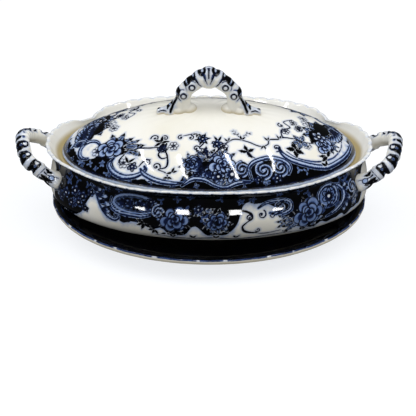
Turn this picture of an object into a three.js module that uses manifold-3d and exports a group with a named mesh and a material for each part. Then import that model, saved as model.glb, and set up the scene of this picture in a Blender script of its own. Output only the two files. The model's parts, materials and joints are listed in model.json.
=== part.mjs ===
// Oval covered soup tureen: a stand, a bowl with two loop handles, and a domed lid with an arch handle.
// Millimetres, +Z up. X runs along the length from handle to handle, Y across it.
// The origin is on the table under the centre of the tureen.

import * as THREE from 'three';
import { mergeVertices } from 'three/addons/utils/BufferGeometryUtils.js';
import Module from 'manifold-3d';

const wasm = await Module();
wasm.setup();

// ---------------------------------------------------------------------------
// Driving dimensions. Every radius is the half-length along X; an oval() turns it into a half-depth.
// ---------------------------------------------------------------------------

const SEGMENTS = 64;
const CURVE_STEPS = 4;
const ROD_STEPS = 40;
const ROD_SIDES = 12;
const SCROLL_STEPS = 8;
const CONTACT_GAP = 0.3;

const stand = {
  ringOuter: 104,
  ringInner: 96,
  ringHeight: 6.7,
  floorRadius: 116,
  floorThickness: 5.7,
  rimRadius: 145.6,
  rimHeight: 22.6,
  rimThickness: 4.6,
  flatMargin: 4,
  wellX: 128,
  underX: 124,
  brimX: 134,
  brimZ: 18.5,
  underBrimX: 134,
  underBrimZ: 11.5,
  depthLoss: 27.6,
  evenRadius: 100,
};
stand.undersideZ = stand.ringHeight + CONTACT_GAP;
stand.floorZ = stand.undersideZ + stand.floorThickness;

const bowl = {
  ringOuter: 111,
  ringInner: 103,
  ringHeight: 5.7,
  floorThickness: 5,
  bellyRadius: 150,
  bellyZ: 45,
  neckRadius: 144,
  neckZ: 65,
  rimRadius: 149.5,
  rimZ: 77,
  wall: 4.4,
  footMargin: 3,
  hipX: 138,
  hipZ: 24,
  waistZ: 53,
  throatZ: 58,
  lipZ: 71.5,
  lipWidth: 3,
  flareX: 141.5,
  flareZ: 70,
  flareFootX: 138.5,
  ledgeOuterRadius: 136.5,
  ledgeRadius: 132,
  ledgeZ: 66.6,
  ledgeThickness: 3.8,
  cornerX: 140,
  innerWaistZ: 55,
  innerHipX: 136,
  innerHipZ: 28,
  depthLoss: 55.5,
  evenRadius: 110,
  endFlattening: 0.028,
  bulgeHalfHeight: 14,
  notchAngle: 36,
  notchWidth: 8,
  notchInset: 0.055,
  notchDip: 4.2,
  swellAngle: 64,
  swellWidth: 13,
  swellOutset: 0.03,
};
bowl.ringZ = stand.floorZ + CONTACT_GAP;
bowl.undersideZ = bowl.ringZ + bowl.ringHeight + CONTACT_GAP;
bowl.floorZ = bowl.undersideZ + bowl.floorThickness;

const lid = {
  radius: 134.6,
  depthRatio: 0.59,
  edgeZ: bowl.ledgeZ + CONTACT_GAP,
  crownZ: 112,
  wall: 4.6,
  edgeChamfer: 1.2,
  edgeRise: 1.6,
  seatHeight: 4,
  browX: 128,
  browZ: 86,
  innerBrowX: 118,
  innerBrowZ: 84,
  crownX: 55,
  flangeOuter: 128,
  flangeInner: 124,
  flangeDepth: 7.4,
};

// The side handles are loops that rise outwards from the shoulder.
const loop = {
  rodRadius: 6.6,
  terminalRadius: 9,
  beadHeight: 0.6,
  beads: 9,
  apexX: 170.4,
  apexZ: 79.4,
  shoulderX: 165,
  shoulderSpread: 21.8,
  shoulderZ: 70.2,
  elbowX: 155.5,
  elbowSpread: 27.5,
  elbowZ: 64.2,
  terminalX: 147,
  terminalSpread: 31,
  terminalZ: 57.5,
  rootX: 131,
  rootSpread: 33,
  rootZ: 51,
};

// The lid handle is an upright arch with a scrolled foot on each side.
const arch = {
  rodRadius: 7.6,
  crestRadius: 9.2,
  beadHeight: 0.5,
  beads: 9,
  apexZ: 144,
  shoulderX: 14,
  shoulderZ: 136.6,
  hipX: 22.8,
  hipZ: 125.5,
  footX: 22.2,
  footZ: 104,
  footRadius: 8.4,
  scrollX: 46,
  scrollZ: 106.5,
  scrollRadius: 6,
  scrollTaper: 0.35,
  scrollStartDrop: 6,
  scrollBendOut: 8,
  scrollBendDrop: 14,
};

const footRingRoundness = 1.2;
const flangeRoundness = 1;

const glaze = { colour: 0xe9e4d4, roughness: 0.12 };
const print = { colour: 0x2b3a66, roughness: 0.14 };
const bareFoot = { colour: 0xd6cdb6, roughness: 0.7 };

// ---------------------------------------------------------------------------
// Ovals: a turned shape is squeezed across its length.
// ---------------------------------------------------------------------------

// Walls keep their thickness all round: the half-depth is a fixed loss less than the half-length.
// Inside evenRadius the shape shrinks evenly to the centre.
function wallOval(depthLoss, evenRadius) {
  return (radius) => {
    const outside = Math.max(radius, evenRadius);
    return (radius * (outside - depthLoss)) / outside;
  };
}

function evenOval(depthRatio) {
  return (radius) => radius * depthRatio;
}

const standOval = wallOval(stand.depthLoss, stand.evenRadius);
const bowlOval = wallOval(bowl.depthLoss, bowl.evenRadius);
const lidOval = evenOval(lid.depthRatio);

// Turns an outline of radius and height into a closed oval body. reshape may then move its points.
function ovalTurning(outline, halfDepthOf, reshape = null) {
  const geometry = new THREE.LatheGeometry(outline, SEGMENTS);
  geometry.rotateX(Math.PI / 2);
  const position = geometry.attributes.position;
  const point = new THREE.Vector3();
  for (let i = 0; i < position.count; i += 1) {
    point.fromBufferAttribute(position, i);
    const radius = Math.hypot(point.x, point.y);
    const angle = Math.atan2(point.y, point.x);
    point.y = radius > 0 ? (point.y * halfDepthOf(radius)) / radius : 0;
    if (reshape) {
      reshape(point, angle);
    }
    position.setXYZ(i, point.x, point.y, point.z);
  }
  return geometry;
}

// A smooth hump of height 1 around a middle value.
function hump(value, middle, halfWidth) {
  return Math.exp(-(((value - middle) / halfWidth) ** 2));
}

// The rim has a shallow notch at each of its four corners and swells beside the long sides. Both
// die out downwards. The belly bulges on the long sides and is flatter at the ends.
function shapeBowlWall(point, angle) {
  const rise = (point.z - bowl.bellyZ) / (bowl.rimZ - bowl.bellyZ);
  const rimShare = THREE.MathUtils.clamp(rise, 0, 1) ** 4;
  const degreesFromEnd = THREE.MathUtils.radToDeg(Math.asin(Math.abs(Math.sin(angle))));
  const notch = hump(degreesFromEnd, bowl.notchAngle, bowl.notchWidth);
  const swell = hump(degreesFromEnd, bowl.swellAngle, bowl.swellWidth);
  const bulge = hump(point.z, bowl.bellyZ, bowl.bulgeHalfHeight);
  const scale = 1 + rimShare * (bowl.swellOutset * swell - bowl.notchInset * notch);
  point.x *= scale * (1 - bowl.endFlattening * bulge * Math.cos(angle) ** 2);
  point.y *= scale;
  point.z -= rimShare * bowl.notchDip * notch;
}

// The outline of a plain ring, closed on itself.
function ringOutline(inner, outer, low, high, roundness) {
  const path = new THREE.Path();
  path.moveTo(inner + roundness, low);
  path.lineTo(outer - roundness, low);
  path.lineTo(outer, low + roundness);
  path.lineTo(outer, high);
  path.lineTo(inner, high);
  path.lineTo(inner, low + roundness);
  path.lineTo(inner + roundness, low);
  return path.getPoints(1);
}

// ---------------------------------------------------------------------------
// Solids for cutting and joining.
// ---------------------------------------------------------------------------

function toSolid(geometry) {
  const bare = geometry.clone();
  bare.deleteAttribute('normal');
  bare.deleteAttribute('uv');
  const merged = mergeVertices(bare, 1e-4);
  const mesh = new wasm.Mesh({
    numProp: 3,
    vertProperties: new Float32Array(merged.attributes.position.array),
    triVerts: new Uint32Array(merged.index.array),
  });
  return new wasm.Manifold(mesh);
}

function toGeometry(solid) {
  const mesh = solid.getMesh();
  const geometry = new THREE.BufferGeometry();
  geometry.setAttribute('position', new THREE.BufferAttribute(mesh.vertProperties, 3));
  geometry.setIndex(new THREE.BufferAttribute(mesh.triVerts, 1));
  return geometry;
}

// Keeps only the largest body of a cut solid, so no sliver is left behind.
function largestBody(solid) {
  const bodies = solid.decompose();
  bodies.sort((a, b) => b.volume() - a.volume());
  return bodies[0];
}

// ---------------------------------------------------------------------------
// Beaded rods bent along a curve.
// ---------------------------------------------------------------------------

// radiusAt takes the fraction along the rod. The rod is turned straight, then laid on the curve.
function bentRod(curve, radiusAt, steps, sides) {
  const outline = [new THREE.Vector2(0, 0)];
  for (let i = 0; i <= steps; i += 1) {
    outline.push(new THREE.Vector2(radiusAt(i / steps), i / steps));
  }
  outline.push(new THREE.Vector2(0, 1));
  const geometry = new THREE.LatheGeometry(outline, sides);
  const frames = curve.computeFrenetFrames(steps, false);
  const position = geometry.attributes.position;
  for (let i = 0; i < position.count; i += 1) {
    const fraction = position.getY(i);
    const place = Math.round(fraction * steps);
    const point = curve.getPointAt(fraction);
    point.addScaledVector(frames.normals[place], position.getX(i));
    point.addScaledVector(frames.binormals[place], -position.getZ(i));
    position.setXYZ(i, point.x, point.y, point.z);
  }
  return geometry;
}

// A radius with raised beads, which swells towards its middle and towards its two ends.
function beaded(radius, middle, end, beadHeight, beads) {
  return (fraction) => {
    const fromMiddle = Math.abs(2 * fraction - 1);
    const bead = beadHeight * Math.cos(2 * Math.PI * beads * (fraction - 0.5));
    const crest = (middle - radius) * (1 - fromMiddle) ** 4;
    return radius + bead + crest + (end - radius) * fromMiddle ** 6;
  };
}

// ---------------------------------------------------------------------------
// Outlines
// ---------------------------------------------------------------------------

function standOutline() {
  const { rimRadius, rimHeight, undersideZ, floorZ } = stand;
  const path = new THREE.Path();
  path.moveTo(0, undersideZ);
  path.lineTo(stand.floorRadius - stand.flatMargin, undersideZ);
  path.bezierCurveTo(
    stand.underX, undersideZ + 0.5,
    stand.underBrimX, stand.underBrimZ,
    rimRadius - 0.9, rimHeight - stand.rimThickness,
  );
  path.quadraticCurveTo(rimRadius + 0.8, rimHeight - 2.2, rimRadius - 0.5, rimHeight);
  path.bezierCurveTo(
    stand.brimX, stand.brimZ,
    stand.wellX, floorZ + 0.5,
    stand.floorRadius, floorZ,
  );
  path.lineTo(0, floorZ);
  return path.getPoints(CURVE_STEPS);
}

// The outside of the bowl from the middle of its underside up to the rim, grown by a clearance.
function addBowlOutside(path, grow) {
  const belly = bowl.bellyRadius + grow;
  const neck = bowl.neckRadius + grow;
  const under = bowl.undersideZ - grow;
  path.moveTo(0, under);
  path.lineTo(bowl.ringOuter + bowl.footMargin + grow, under);
  path.bezierCurveTo(bowl.hipX + grow, under, belly, bowl.hipZ - grow, belly, bowl.bellyZ);
  path.bezierCurveTo(belly, bowl.waistZ, neck, bowl.throatZ, neck, bowl.neckZ);
  path.quadraticCurveTo(neck, bowl.lipZ, bowl.rimRadius + grow, bowl.rimZ - 1);
}

function bowlOutline() {
  const inside = bowl.bellyRadius - bowl.wall;
  const ledgeUnder = bowl.ledgeZ - bowl.ledgeThickness;
  const path = new THREE.Path();
  addBowlOutside(path, 0);
  path.quadraticCurveTo(bowl.rimRadius, bowl.rimZ + 0.6, bowl.rimRadius - bowl.lipWidth, bowl.rimZ);
  path.quadraticCurveTo(bowl.flareX, bowl.flareZ, bowl.flareFootX, bowl.ledgeZ + 1);
  path.lineTo(bowl.ledgeOuterRadius, bowl.ledgeZ);
  path.lineTo(bowl.ledgeRadius, bowl.ledgeZ);
  path.lineTo(bowl.ledgeRadius, ledgeUnder);
  path.bezierCurveTo(bowl.cornerX, ledgeUnder - 2, inside, bowl.innerWaistZ, inside, bowl.bellyZ);
  path.bezierCurveTo(inside, bowl.innerHipZ, bowl.innerHipX, bowl.floorZ, bowl.ringOuter, bowl.floorZ);
  path.lineTo(0, bowl.floorZ);
  return path.getPoints(CURVE_STEPS);
}

// A solid of the whole bowl shape, used to trim the handles against the wall.
function bowlEnvelope() {
  const path = new THREE.Path();
  addBowlOutside(path, CONTACT_GAP);
  path.lineTo(bowl.rimRadius + CONTACT_GAP, bowl.rimZ + 1);
  path.lineTo(0, bowl.rimZ + 1);
  return toSolid(ovalTurning(path.getPoints(CURVE_STEPS), bowlOval, shapeBowlWall));
}

// The outside of the lid from its edge up to the crown, grown by a clearance.
function addLidOutside(path, grow) {
  const crown = lid.crownZ + grow;
  path.bezierCurveTo(lid.browX + grow, lid.browZ + grow, lid.crownX, crown, 0, crown);
}

function lidOutline() {
  const innerCrown = lid.crownZ - lid.wall;
  const path = new THREE.Path();
  path.moveTo(0, innerCrown);
  path.bezierCurveTo(
    lid.crownX, innerCrown,
    lid.innerBrowX, lid.innerBrowZ,
    lid.flangeInner, lid.edgeZ + lid.seatHeight,
  );
  path.lineTo(lid.flangeInner, lid.edgeZ);
  path.lineTo(lid.radius - lid.edgeChamfer, lid.edgeZ);
  path.lineTo(lid.radius, lid.edgeZ + lid.edgeRise);
  addLidOutside(path, 0);
  return path.getPoints(CURVE_STEPS * 2);
}

function lidEnvelope() {
  const path = new THREE.Path();
  path.moveTo(0, lid.edgeZ);
  path.lineTo(lid.radius + CONTACT_GAP, lid.edgeZ);
  addLidOutside(path, CONTACT_GAP);
  return toSolid(ovalTurning(path.getPoints(CURVE_STEPS * 2), lidOval));
}

// ---------------------------------------------------------------------------
// Handles
// ---------------------------------------------------------------------------

// A curve through the points of one half and their mirror images, given from the apex outwards.
function mirroredCurve(half, mirror) {
  const farHalf = half.slice(1).map((point) => point.clone().multiply(mirror));
  return new THREE.CatmullRomCurve3([...half.slice().reverse(), ...farHalf]);
}

// side is -1 for the left handle and 1 for the right one.
function sideHandle(side) {
  const half = [
    new THREE.Vector3(side * loop.apexX, 0, loop.apexZ),
    new THREE.Vector3(side * loop.shoulderX, loop.shoulderSpread, loop.shoulderZ),
    new THREE.Vector3(side * loop.elbowX, loop.elbowSpread, loop.elbowZ),
    new THREE.Vector3(side * loop.terminalX, loop.terminalSpread, loop.terminalZ),
    new THREE.Vector3(side * loop.rootX, loop.rootSpread, loop.rootZ),
  ];
  const curve = mirroredCurve(half, new THREE.Vector3(1, -1, 1));
  const radiusAt = beaded(loop.rodRadius, loop.rodRadius, loop.terminalRadius, loop.beadHeight, loop.beads);
  const solid = toSolid(bentRod(curve, radiusAt, ROD_STEPS, ROD_SIDES));
  return toGeometry(largestBody(solid.subtract(bowlEnvelope())));
}

// The scrolled foot runs from the leg out along the lid, getting thinner.
function scrollFoot(side) {
  const bendX = arch.hipX + arch.scrollBendOut;
  const curve = new THREE.CatmullRomCurve3([
    new THREE.Vector3(side * arch.hipX, 0, arch.hipZ - arch.scrollStartDrop),
    new THREE.Vector3(side * bendX, 0, arch.hipZ - arch.scrollBendDrop),
    new THREE.Vector3(side * arch.scrollX, 0, arch.scrollZ),
  ]);
  const radiusAt = (fraction) => arch.scrollRadius * (1 - arch.scrollTaper * fraction);
  return toSolid(bentRod(curve, radiusAt, SCROLL_STEPS, ROD_SIDES));
}

function lidHandle() {
  const half = [
    new THREE.Vector3(0, 0, arch.apexZ),
    new THREE.Vector3(arch.shoulderX, 0, arch.shoulderZ),
    new THREE.Vector3(arch.hipX, 0, arch.hipZ),
    new THREE.Vector3(arch.footX, 0, arch.footZ),
  ];
  const curve = mirroredCurve(half, new THREE.Vector3(-1, 1, 1));
  const radiusAt = beaded(arch.rodRadius, arch.crestRadius, arch.footRadius, arch.beadHeight, arch.beads);
  const legs = toSolid(bentRod(curve, radiusAt, ROD_STEPS, ROD_SIDES));
  const solid = legs.add(scrollFoot(-1)).add(scrollFoot(1));
  return toGeometry(largestBody(solid.subtract(lidEnvelope())));
}

// ---------------------------------------------------------------------------
// The tureen
// ---------------------------------------------------------------------------

const tureen = new THREE.Group();

function addPiece(name, geometry, look) {
  const material = new THREE.MeshStandardMaterial({
    color: look.colour,
    roughness: look.roughness,
    metalness: 0,
  });
  const mesh = new THREE.Mesh(geometry, material);
  mesh.name = name;
  tureen.add(mesh);
}

const { ringInner, ringOuter, ringHeight } = stand;
const standRing = ringOutline(ringInner, ringOuter, 0, ringHeight, footRingRoundness);
addPiece('underplate_foot_ring', ovalTurning(standRing, standOval), bareFoot);
addPiece('underplate', ovalTurning(standOutline(), standOval), print);

const bowlRingTop = bowl.ringZ + bowl.ringHeight;
const bowlRing = ringOutline(bowl.ringInner, bowl.ringOuter, bowl.ringZ, bowlRingTop, footRingRoundness);
addPiece('bowl_foot_ring', ovalTurning(bowlRing, bowlOval), bareFoot);
addPiece('bowl_shell', ovalTurning(bowlOutline(), bowlOval, shapeBowlWall), print);
addPiece('handle_left', sideHandle(-1), glaze);
addPiece('handle_right', sideHandle(1), glaze);

const flangeTop = lid.edgeZ - CONTACT_GAP;
const flangeLow = flangeTop - lid.flangeDepth;
const flangeRing = ringOutline(lid.flangeInner, lid.flangeOuter, flangeLow, flangeTop, flangeRoundness);
addPiece('lid_locating_flange', ovalTurning(flangeRing, lidOval), bareFoot);
addPiece('lid_dome', ovalTurning(lidOutline(), lidOval), glaze);
addPiece('lid_handle', lidHandle(), print);

export default tureen;
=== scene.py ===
"""Looks of the oval covered tureen: glazed earthenware with a flowing blue floral print.

Shapes are worked out in millimetres in the CAD frame and turned into metres when a mesh is made.
The print is painted onto the vertices as signed distances, negative inside the ink, in three layers:
"line" is the engraved outline, "dark" the cobalt ground and "mid" the mid-blue filling. "tone" is a
wash from 0 to 1. The glaze materials turn those distances into crisp ink with a soft blue halo.
"""

import json
import math

import bpy
import numpy as np
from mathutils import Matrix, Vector
from mathutils.kdtree import KDTree

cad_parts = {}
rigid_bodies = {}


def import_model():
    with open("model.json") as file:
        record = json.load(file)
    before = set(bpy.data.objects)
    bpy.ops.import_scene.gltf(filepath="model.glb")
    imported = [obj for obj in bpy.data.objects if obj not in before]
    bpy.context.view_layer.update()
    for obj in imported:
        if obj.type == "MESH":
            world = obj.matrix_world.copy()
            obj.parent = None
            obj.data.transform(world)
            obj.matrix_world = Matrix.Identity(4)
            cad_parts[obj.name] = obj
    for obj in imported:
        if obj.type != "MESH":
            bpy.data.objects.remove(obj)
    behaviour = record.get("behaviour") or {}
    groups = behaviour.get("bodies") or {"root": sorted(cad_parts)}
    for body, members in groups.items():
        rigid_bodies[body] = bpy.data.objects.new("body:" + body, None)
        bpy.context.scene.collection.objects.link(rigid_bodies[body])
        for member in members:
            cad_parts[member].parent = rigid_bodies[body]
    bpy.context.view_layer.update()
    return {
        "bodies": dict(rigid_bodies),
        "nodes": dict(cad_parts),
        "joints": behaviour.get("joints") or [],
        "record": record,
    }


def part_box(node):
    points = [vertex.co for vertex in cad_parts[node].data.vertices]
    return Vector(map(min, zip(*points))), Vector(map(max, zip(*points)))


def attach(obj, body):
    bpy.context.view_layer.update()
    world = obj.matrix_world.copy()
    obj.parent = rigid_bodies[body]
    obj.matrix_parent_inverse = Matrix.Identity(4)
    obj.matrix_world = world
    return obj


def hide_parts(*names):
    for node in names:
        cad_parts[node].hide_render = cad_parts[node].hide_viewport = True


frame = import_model()

MM = 0.001
TAU = 2 * math.pi

# The distance to ink is only kept up to FAR.
FAR = 9.0


# ---- Sizes, in millimetres. Half-lengths run along X; an oval turns them into half-depths along Y. ----


def node_span(node):
    low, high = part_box(node)
    return np.array(low) / MM, np.array(high) / MM


(_, _, STAND_UNDER), (STAND_RIM, STAND_HALF_DEPTH, STAND_TOP) = node_span("underplate")
STAND_FLOOR = STAND_UNDER + 5.7
STAND_LOSS = STAND_RIM - STAND_HALF_DEPTH
STAND_EVEN = 100.0
STAND_WAVES = 36

(_, _, BOWL_UNDER), (_, _, RIM_Z) = node_span("bowl_shell")
BOWL_FLOOR = BOWL_UNDER + 5
BELLY_R = 150.0
BELLY_Z = 45.0
NECK_R = 144.0
NECK_Z = 65.0
RIM_R = 149.5
BOWL_LOSS = 55.5
BOWL_EVEN = 110.0
LEDGE_Z = 66.6
LEDGE_R = 132.0
WALL = 4.4
SCALLOPS = 56
NOTCH_DEPTH = 4.2

(_, _, LID_EDGE), (LID_R, LID_HALF_DEPTH, LID_CROWN) = node_span("lid_dome")
LID_RATIO = LID_HALF_DEPTH / LID_R
LID_INNER = 124.0
LID_FLUTES = 26


# ---- Ovals and outlines ----


def wall_oval(loss, even):
    """Half-depths of an oval whose end and side walls stand off alike down to an even half-length."""

    def half_depth(radius):
        outside = np.maximum(radius, even)
        return radius * (outside - loss) / outside

    return half_depth


def lid_oval(radius):
    return radius * LID_RATIO


stand_oval = wall_oval(STAND_LOSS, STAND_EVEN)
bowl_oval = wall_oval(BOWL_LOSS, BOWL_EVEN)


def bezier(*points, steps=48):
    """A Bezier curve through its first and last points."""
    t = np.linspace(0, 1, steps + 1)[:, None]
    layers = [np.array(point, float) + 0 * t for point in points]
    while len(layers) > 1:
        layers = [a * (1 - t) + b * t for a, b in zip(layers, layers[1:])]
    return layers[0]


def even_path(path, count):
    """A count of points evenly along a path, and the path's length."""
    along = np.concatenate([[0], np.cumsum(np.linalg.norm(np.diff(path, axis=0), axis=1))])
    at = np.linspace(0, along[-1], count)
    return np.column_stack([np.interp(at, along, axis) for axis in np.transpose(path)]), along[-1]


def resample(path, spacing):
    """Points evenly along a path, about a given spacing apart."""
    length = even_path(path, 2)[1]
    return even_path(path, max(2, int(round(length / spacing)) + 1))[0]


def oval_lengths(half_length, half_depth):
    """Ellipse angles closely spaced all round an oval, and the length along it to each."""
    angles = np.linspace(0, TAU, 4097)
    steps = np.hypot(half_length * np.diff(np.cos(angles)), half_depth * np.diff(np.sin(angles)))
    return angles, np.concatenate([[0], np.cumsum(steps)])


def oval_angles(count, half_length, half_depth):
    """Ellipse angles that space points evenly round an oval, starting on +X."""
    angles, along = oval_lengths(half_length, half_depth)
    return np.interp(np.arange(count) * along[-1] / count, along, angles)


# ---- Meshes ----


def ring_faces(first, count, second, next_count):
    """Faces between two rings of points, whose counts are equal, or one twice the other, or 1."""
    if count < next_count:
        quads, tris = ring_faces(second, next_count, first, count)
        return quads, tris[:, ::-1]
    if next_count == 1:
        j = np.arange(count)
        return np.zeros((0, 4), int), np.column_stack([first + j, first + (j + 1) % count, j * 0 + second])
    j = np.arange(next_count)
    k = (j + 1) % next_count
    if count == next_count:
        return np.column_stack([first + j, first + k, second + k, second + j]), np.zeros((0, 3), int)
    near, middle, far = first + 2 * j, first + 2 * j + 1, first + 2 * k
    tris = [[near, middle, second + j], [middle, second + k, second + j], [middle, far, second + k]]
    return np.zeros((0, 4), int), np.concatenate([np.column_stack(t) for t in tris])


def oval_row(radius, height, angle, half_depth_of):
    x, y = radius * np.cos(angle), half_depth_of(radius) * np.sin(angle)
    return np.column_stack([x, y, np.full(len(angle), height)])


def turned(rows, counts, half_depth_of, reshape=None):
    """An oval turned body from rows of (radius, height). Returns its points, faces and angles."""
    widest = rows[:, 0].max()
    depth = half_depth_of(widest)
    angles = [oval_angles(count, widest, depth) if count > 1 else np.zeros(1) for count in counts]
    points = np.concatenate([oval_row(*row, angle, half_depth_of) for row, angle in zip(rows, angles)])
    angles = np.concatenate(angles)
    if reshape:
        points = reshape(points, angles)
    starts = np.concatenate([[0], np.cumsum(counts)])
    faces = [ring_faces(*place) for place in zip(starts, counts, starts[1:], counts[1:])]
    quads, tris = (np.concatenate(kind) for kind in zip(*faces))
    return points, quads, tris, angles


def closed_ring(rows, counts, half_depth_of):
    """As turned(), but the last row joins the first, for a ring with a hole. Returns no angles."""
    points, quads, tris, _ = turned(rows, counts, half_depth_of)
    last_quads, _ = ring_faces(len(points) - counts[-1], counts[-1], 0, counts[0])
    return points, np.concatenate([quads, last_quads]), tris


def place_points(mesh, points):
    mesh.vertices.foreach_set("co", (points * MM).astype(np.float32).ravel())
    mesh.update()


def make_object(name, points, quads, tris):
    mesh = bpy.data.meshes.new(name)
    sizes = np.concatenate([np.full(len(quads), 4), np.full(len(tris), 3)])
    starts = np.concatenate([[0], np.cumsum(sizes)[:-1]]).astype(np.int32)
    mesh.vertices.add(len(points))
    mesh.loops.add(sizes.sum())
    mesh.loops.foreach_set("vertex_index", np.concatenate([quads.ravel(), tris.ravel()]).astype(np.int32))
    mesh.polygons.add(len(sizes))
    mesh.polygons.foreach_set("loop_start", starts)
    mesh.polygons.foreach_set("use_smooth", np.ones(len(sizes), bool))
    place_points(mesh, points)
    mesh.update(calc_edges=True)
    mesh.validate()
    piece = bpy.data.objects.new(name, mesh)
    bpy.context.scene.collection.objects.link(piece)
    return piece


def read_vectors(rows, name):
    flat = np.zeros(len(rows) * 3, np.float32)
    rows.foreach_get(name, flat)
    return flat.reshape(-1, 3).astype(float)


def mesh_points(piece):
    return read_vectors(piece.data.vertices, "co") / MM


def mesh_normals(piece):
    return read_vectors(piece.data.vertex_normals, "vector")


def nearest(points, targets):
    """For each point, the number of the target nearest to it."""
    tree = KDTree(len(targets))
    for i, target in enumerate(targets):
        tree.insert(target, i)
    tree.balance()
    return np.array([tree.find(point)[1] for point in points])


def set_field(piece, name, values):
    field = piece.data.attributes.new(name, "FLOAT", "POINT")
    field.data.foreach_set("value", np.asarray(values, np.float32))


# ---- Painting on a surface ----


def path_distance(points, path, widths):
    """Distance to a tapered stroke along a path, less its half width. widths run from end to end."""
    path = np.asarray(path, float)
    widths = np.interp(np.linspace(0, 1, len(path)), np.linspace(0, 1, len(widths)), widths)
    closest = np.full(len(points), FAR)
    for start, end, first, last in zip(path, path[1:], widths, widths[1:]):
        run = end - start
        share = np.clip((points - start) @ run / max(run @ run, 1e-9), 0, 1)
        gap = np.linalg.norm(points - start - share[:, None] * run, axis=1)
        closest = np.minimum(closest, gap - (first + (last - first) * share) / 2)
    return closest


def smooth_path(knots, steps=8):
    """A Catmull-Rom curve through the knots."""
    knots = np.asarray(knots, float)
    padded = np.vstack([2 * knots[0] - knots[1], knots, 2 * knots[-1] - knots[-2]])
    t = np.linspace(0, 1, steps, endpoint=False)[:, None]
    pieces = []
    for a, b, c, d in zip(padded, padded[1:], padded[2:], padded[3:]):
        bend = (2 * a - 5 * b + 4 * c - d) * t**2 + (3 * b - a - 3 * c + d) * t**3
        pieces.append(0.5 * (2 * b + (c - a) * t + bend))
    return np.vstack(pieces + [knots[-1:]])


def curl(centre, radius, turns, start, inward, flip=1):
    """Points of a curl that closes in on its centre, from the angle start in degrees."""
    t = np.linspace(0, 1, 22)
    reach = radius * (1 - (1 - inward) * t)
    angle = math.radians(start) + flip * TAU * turns * t
    return np.column_stack([centre[0] + reach * np.cos(angle), centre[1] + reach * np.sin(angle)])


def heading(degrees):
    return np.array([math.cos(math.radians(degrees)), math.sin(math.radians(degrees))])


class Print:
    """The ink on one piece. where(angle in degrees, level) gives a point on its surface."""

    def __init__(self, piece, where=None, printable=True):
        self.piece = piece
        self.points = mesh_points(piece)
        self.normals = mesh_normals(piece)
        self.where = where
        self.printable = np.ones(len(self.points), bool) & printable
        self.layers = {name: np.full(len(self.points), FAR) for name in ("line", "dark", "mid")}
        self.tone = np.zeros(len(self.points))

    def part(self, mask=True):
        """The printable points within a mask, at their places in space."""
        index = np.flatnonzero(self.printable & mask)
        return Patch(self, index, self.points[index])

    def flat(self, x, y):
        """All the points, at flat places of the caller's own."""
        return Patch(self, np.arange(len(x)), np.column_stack([x, y]))

    def patch(self, angle, level, reach, turn=0.0):
        """The surface near a place, flattened: x runs round the piece, y up it."""
        centre = self.where(angle, level)
        across = self.where(angle + 0.3, level) - self.where(angle - 0.3, level)
        up = self.where(angle, level + 0.01) - self.where(angle, level - 0.01)
        across /= np.linalg.norm(across)
        out = np.cross(across, up)
        out /= np.linalg.norm(out)
        up = np.cross(out, across)
        offset = self.points - centre
        near = (np.einsum("ij,ij->i", offset, offset) < reach**2) & (self.normals @ out > 0.2)
        index = np.flatnonzero(near & self.printable)
        x, y = offset[index] @ across, offset[index] @ up
        c, s = heading(turn)
        return Patch(self, index, np.column_stack([x * c + y * s, y * c - x * s]))

    def ribbon(self, knots):
        """The surface along a path through (angle, level) knots, with the path itself in space."""
        path = smooth_path([self.where(angle, level) for angle, level in knots])
        low, high = path.min(axis=0) - FAR, path.max(axis=0) + FAR
        return self.part(np.all((self.points > low) & (self.points < high), axis=1)), path

    def store(self, painted_shade):
        for name, values in self.layers.items():
            set_field(self.piece, name, np.clip(values, -FAR, FAR))
        set_field(self.piece, "tone", np.clip(self.tone, 0, 1))
        # The last field is painted shade: a warm darkening for creases, hollows and undersides.
        set_field(self.piece, "painted_shade", painted_shade)


class Patch:
    """Some of a print's points, at places in space or in flat millimetres of a motif's own."""

    def __init__(self, ink, index, places):
        self.print = ink
        self.index = index
        self.places = places
        self.x, self.y = places.T[:2]

    def clear(self, shape, tone=0.0):
        """Leaves a shape unprinted, but for an even wash."""
        for layer in self.print.layers.values():
            layer[self.index] = np.maximum(layer[self.index], -shape)
        self.print.tone[self.index[shape < 0]] = tone

    def ink(self, layer, shape):
        target = self.print.layers[layer]
        target[self.index] = np.minimum(target[self.index], shape)

    def wash(self, shape, strength, soft):
        cover = np.clip(0.5 - shape / soft, 0, 1) * strength
        self.print.tone[self.index] = np.maximum(self.print.tone[self.index], cover)

    def outline(self, shape, width):
        self.ink("line", np.abs(shape) - width / 2)

    def oval(self, cx, cy, rx, ry, turn=0.0):
        c, s = heading(turn)
        dx, dy = self.x - cx, self.y - cy
        px, py = (dx * c + dy * s) / rx, (dy * c - dx * s) / ry
        reach = np.hypot(px, py)
        return reach * (reach - 1) / np.maximum(np.hypot(px / rx, py / ry), 1e-4)

    def stroke(self, path, widths):
        return path_distance(self.places, path, widths)


# ---- Motifs, drawn about (0, 0) in millimetres ----


def petal(patch, cx, cy, length, width, turn, tone):
    """A rounded petal, pale at its rim and nearly black at its root."""
    shape = patch.oval(cx, cy, length, width, turn)
    patch.clear(shape - 0.25, min(tone * 0.42, 0.55))
    place, way = np.array([cx, cy]), heading(turn)
    root = place - way * length * 0.6
    patch.wash(patch.oval(root[0], root[1], length * 0.85, width * 0.75, turn), tone * 1.1, width * 0.55)
    patch.ink("line", patch.oval(root[0], root[1], length * 0.5, width * 0.4, turn))
    patch.outline(shape, 1.2)
    for swing in (-0.3, 0.3):
        side = heading(turn + 90) * width * swing
        patch.ink("line", patch.stroke([root + side, place + way * length * 0.35 + side], [0.8, 0.25]))


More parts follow.
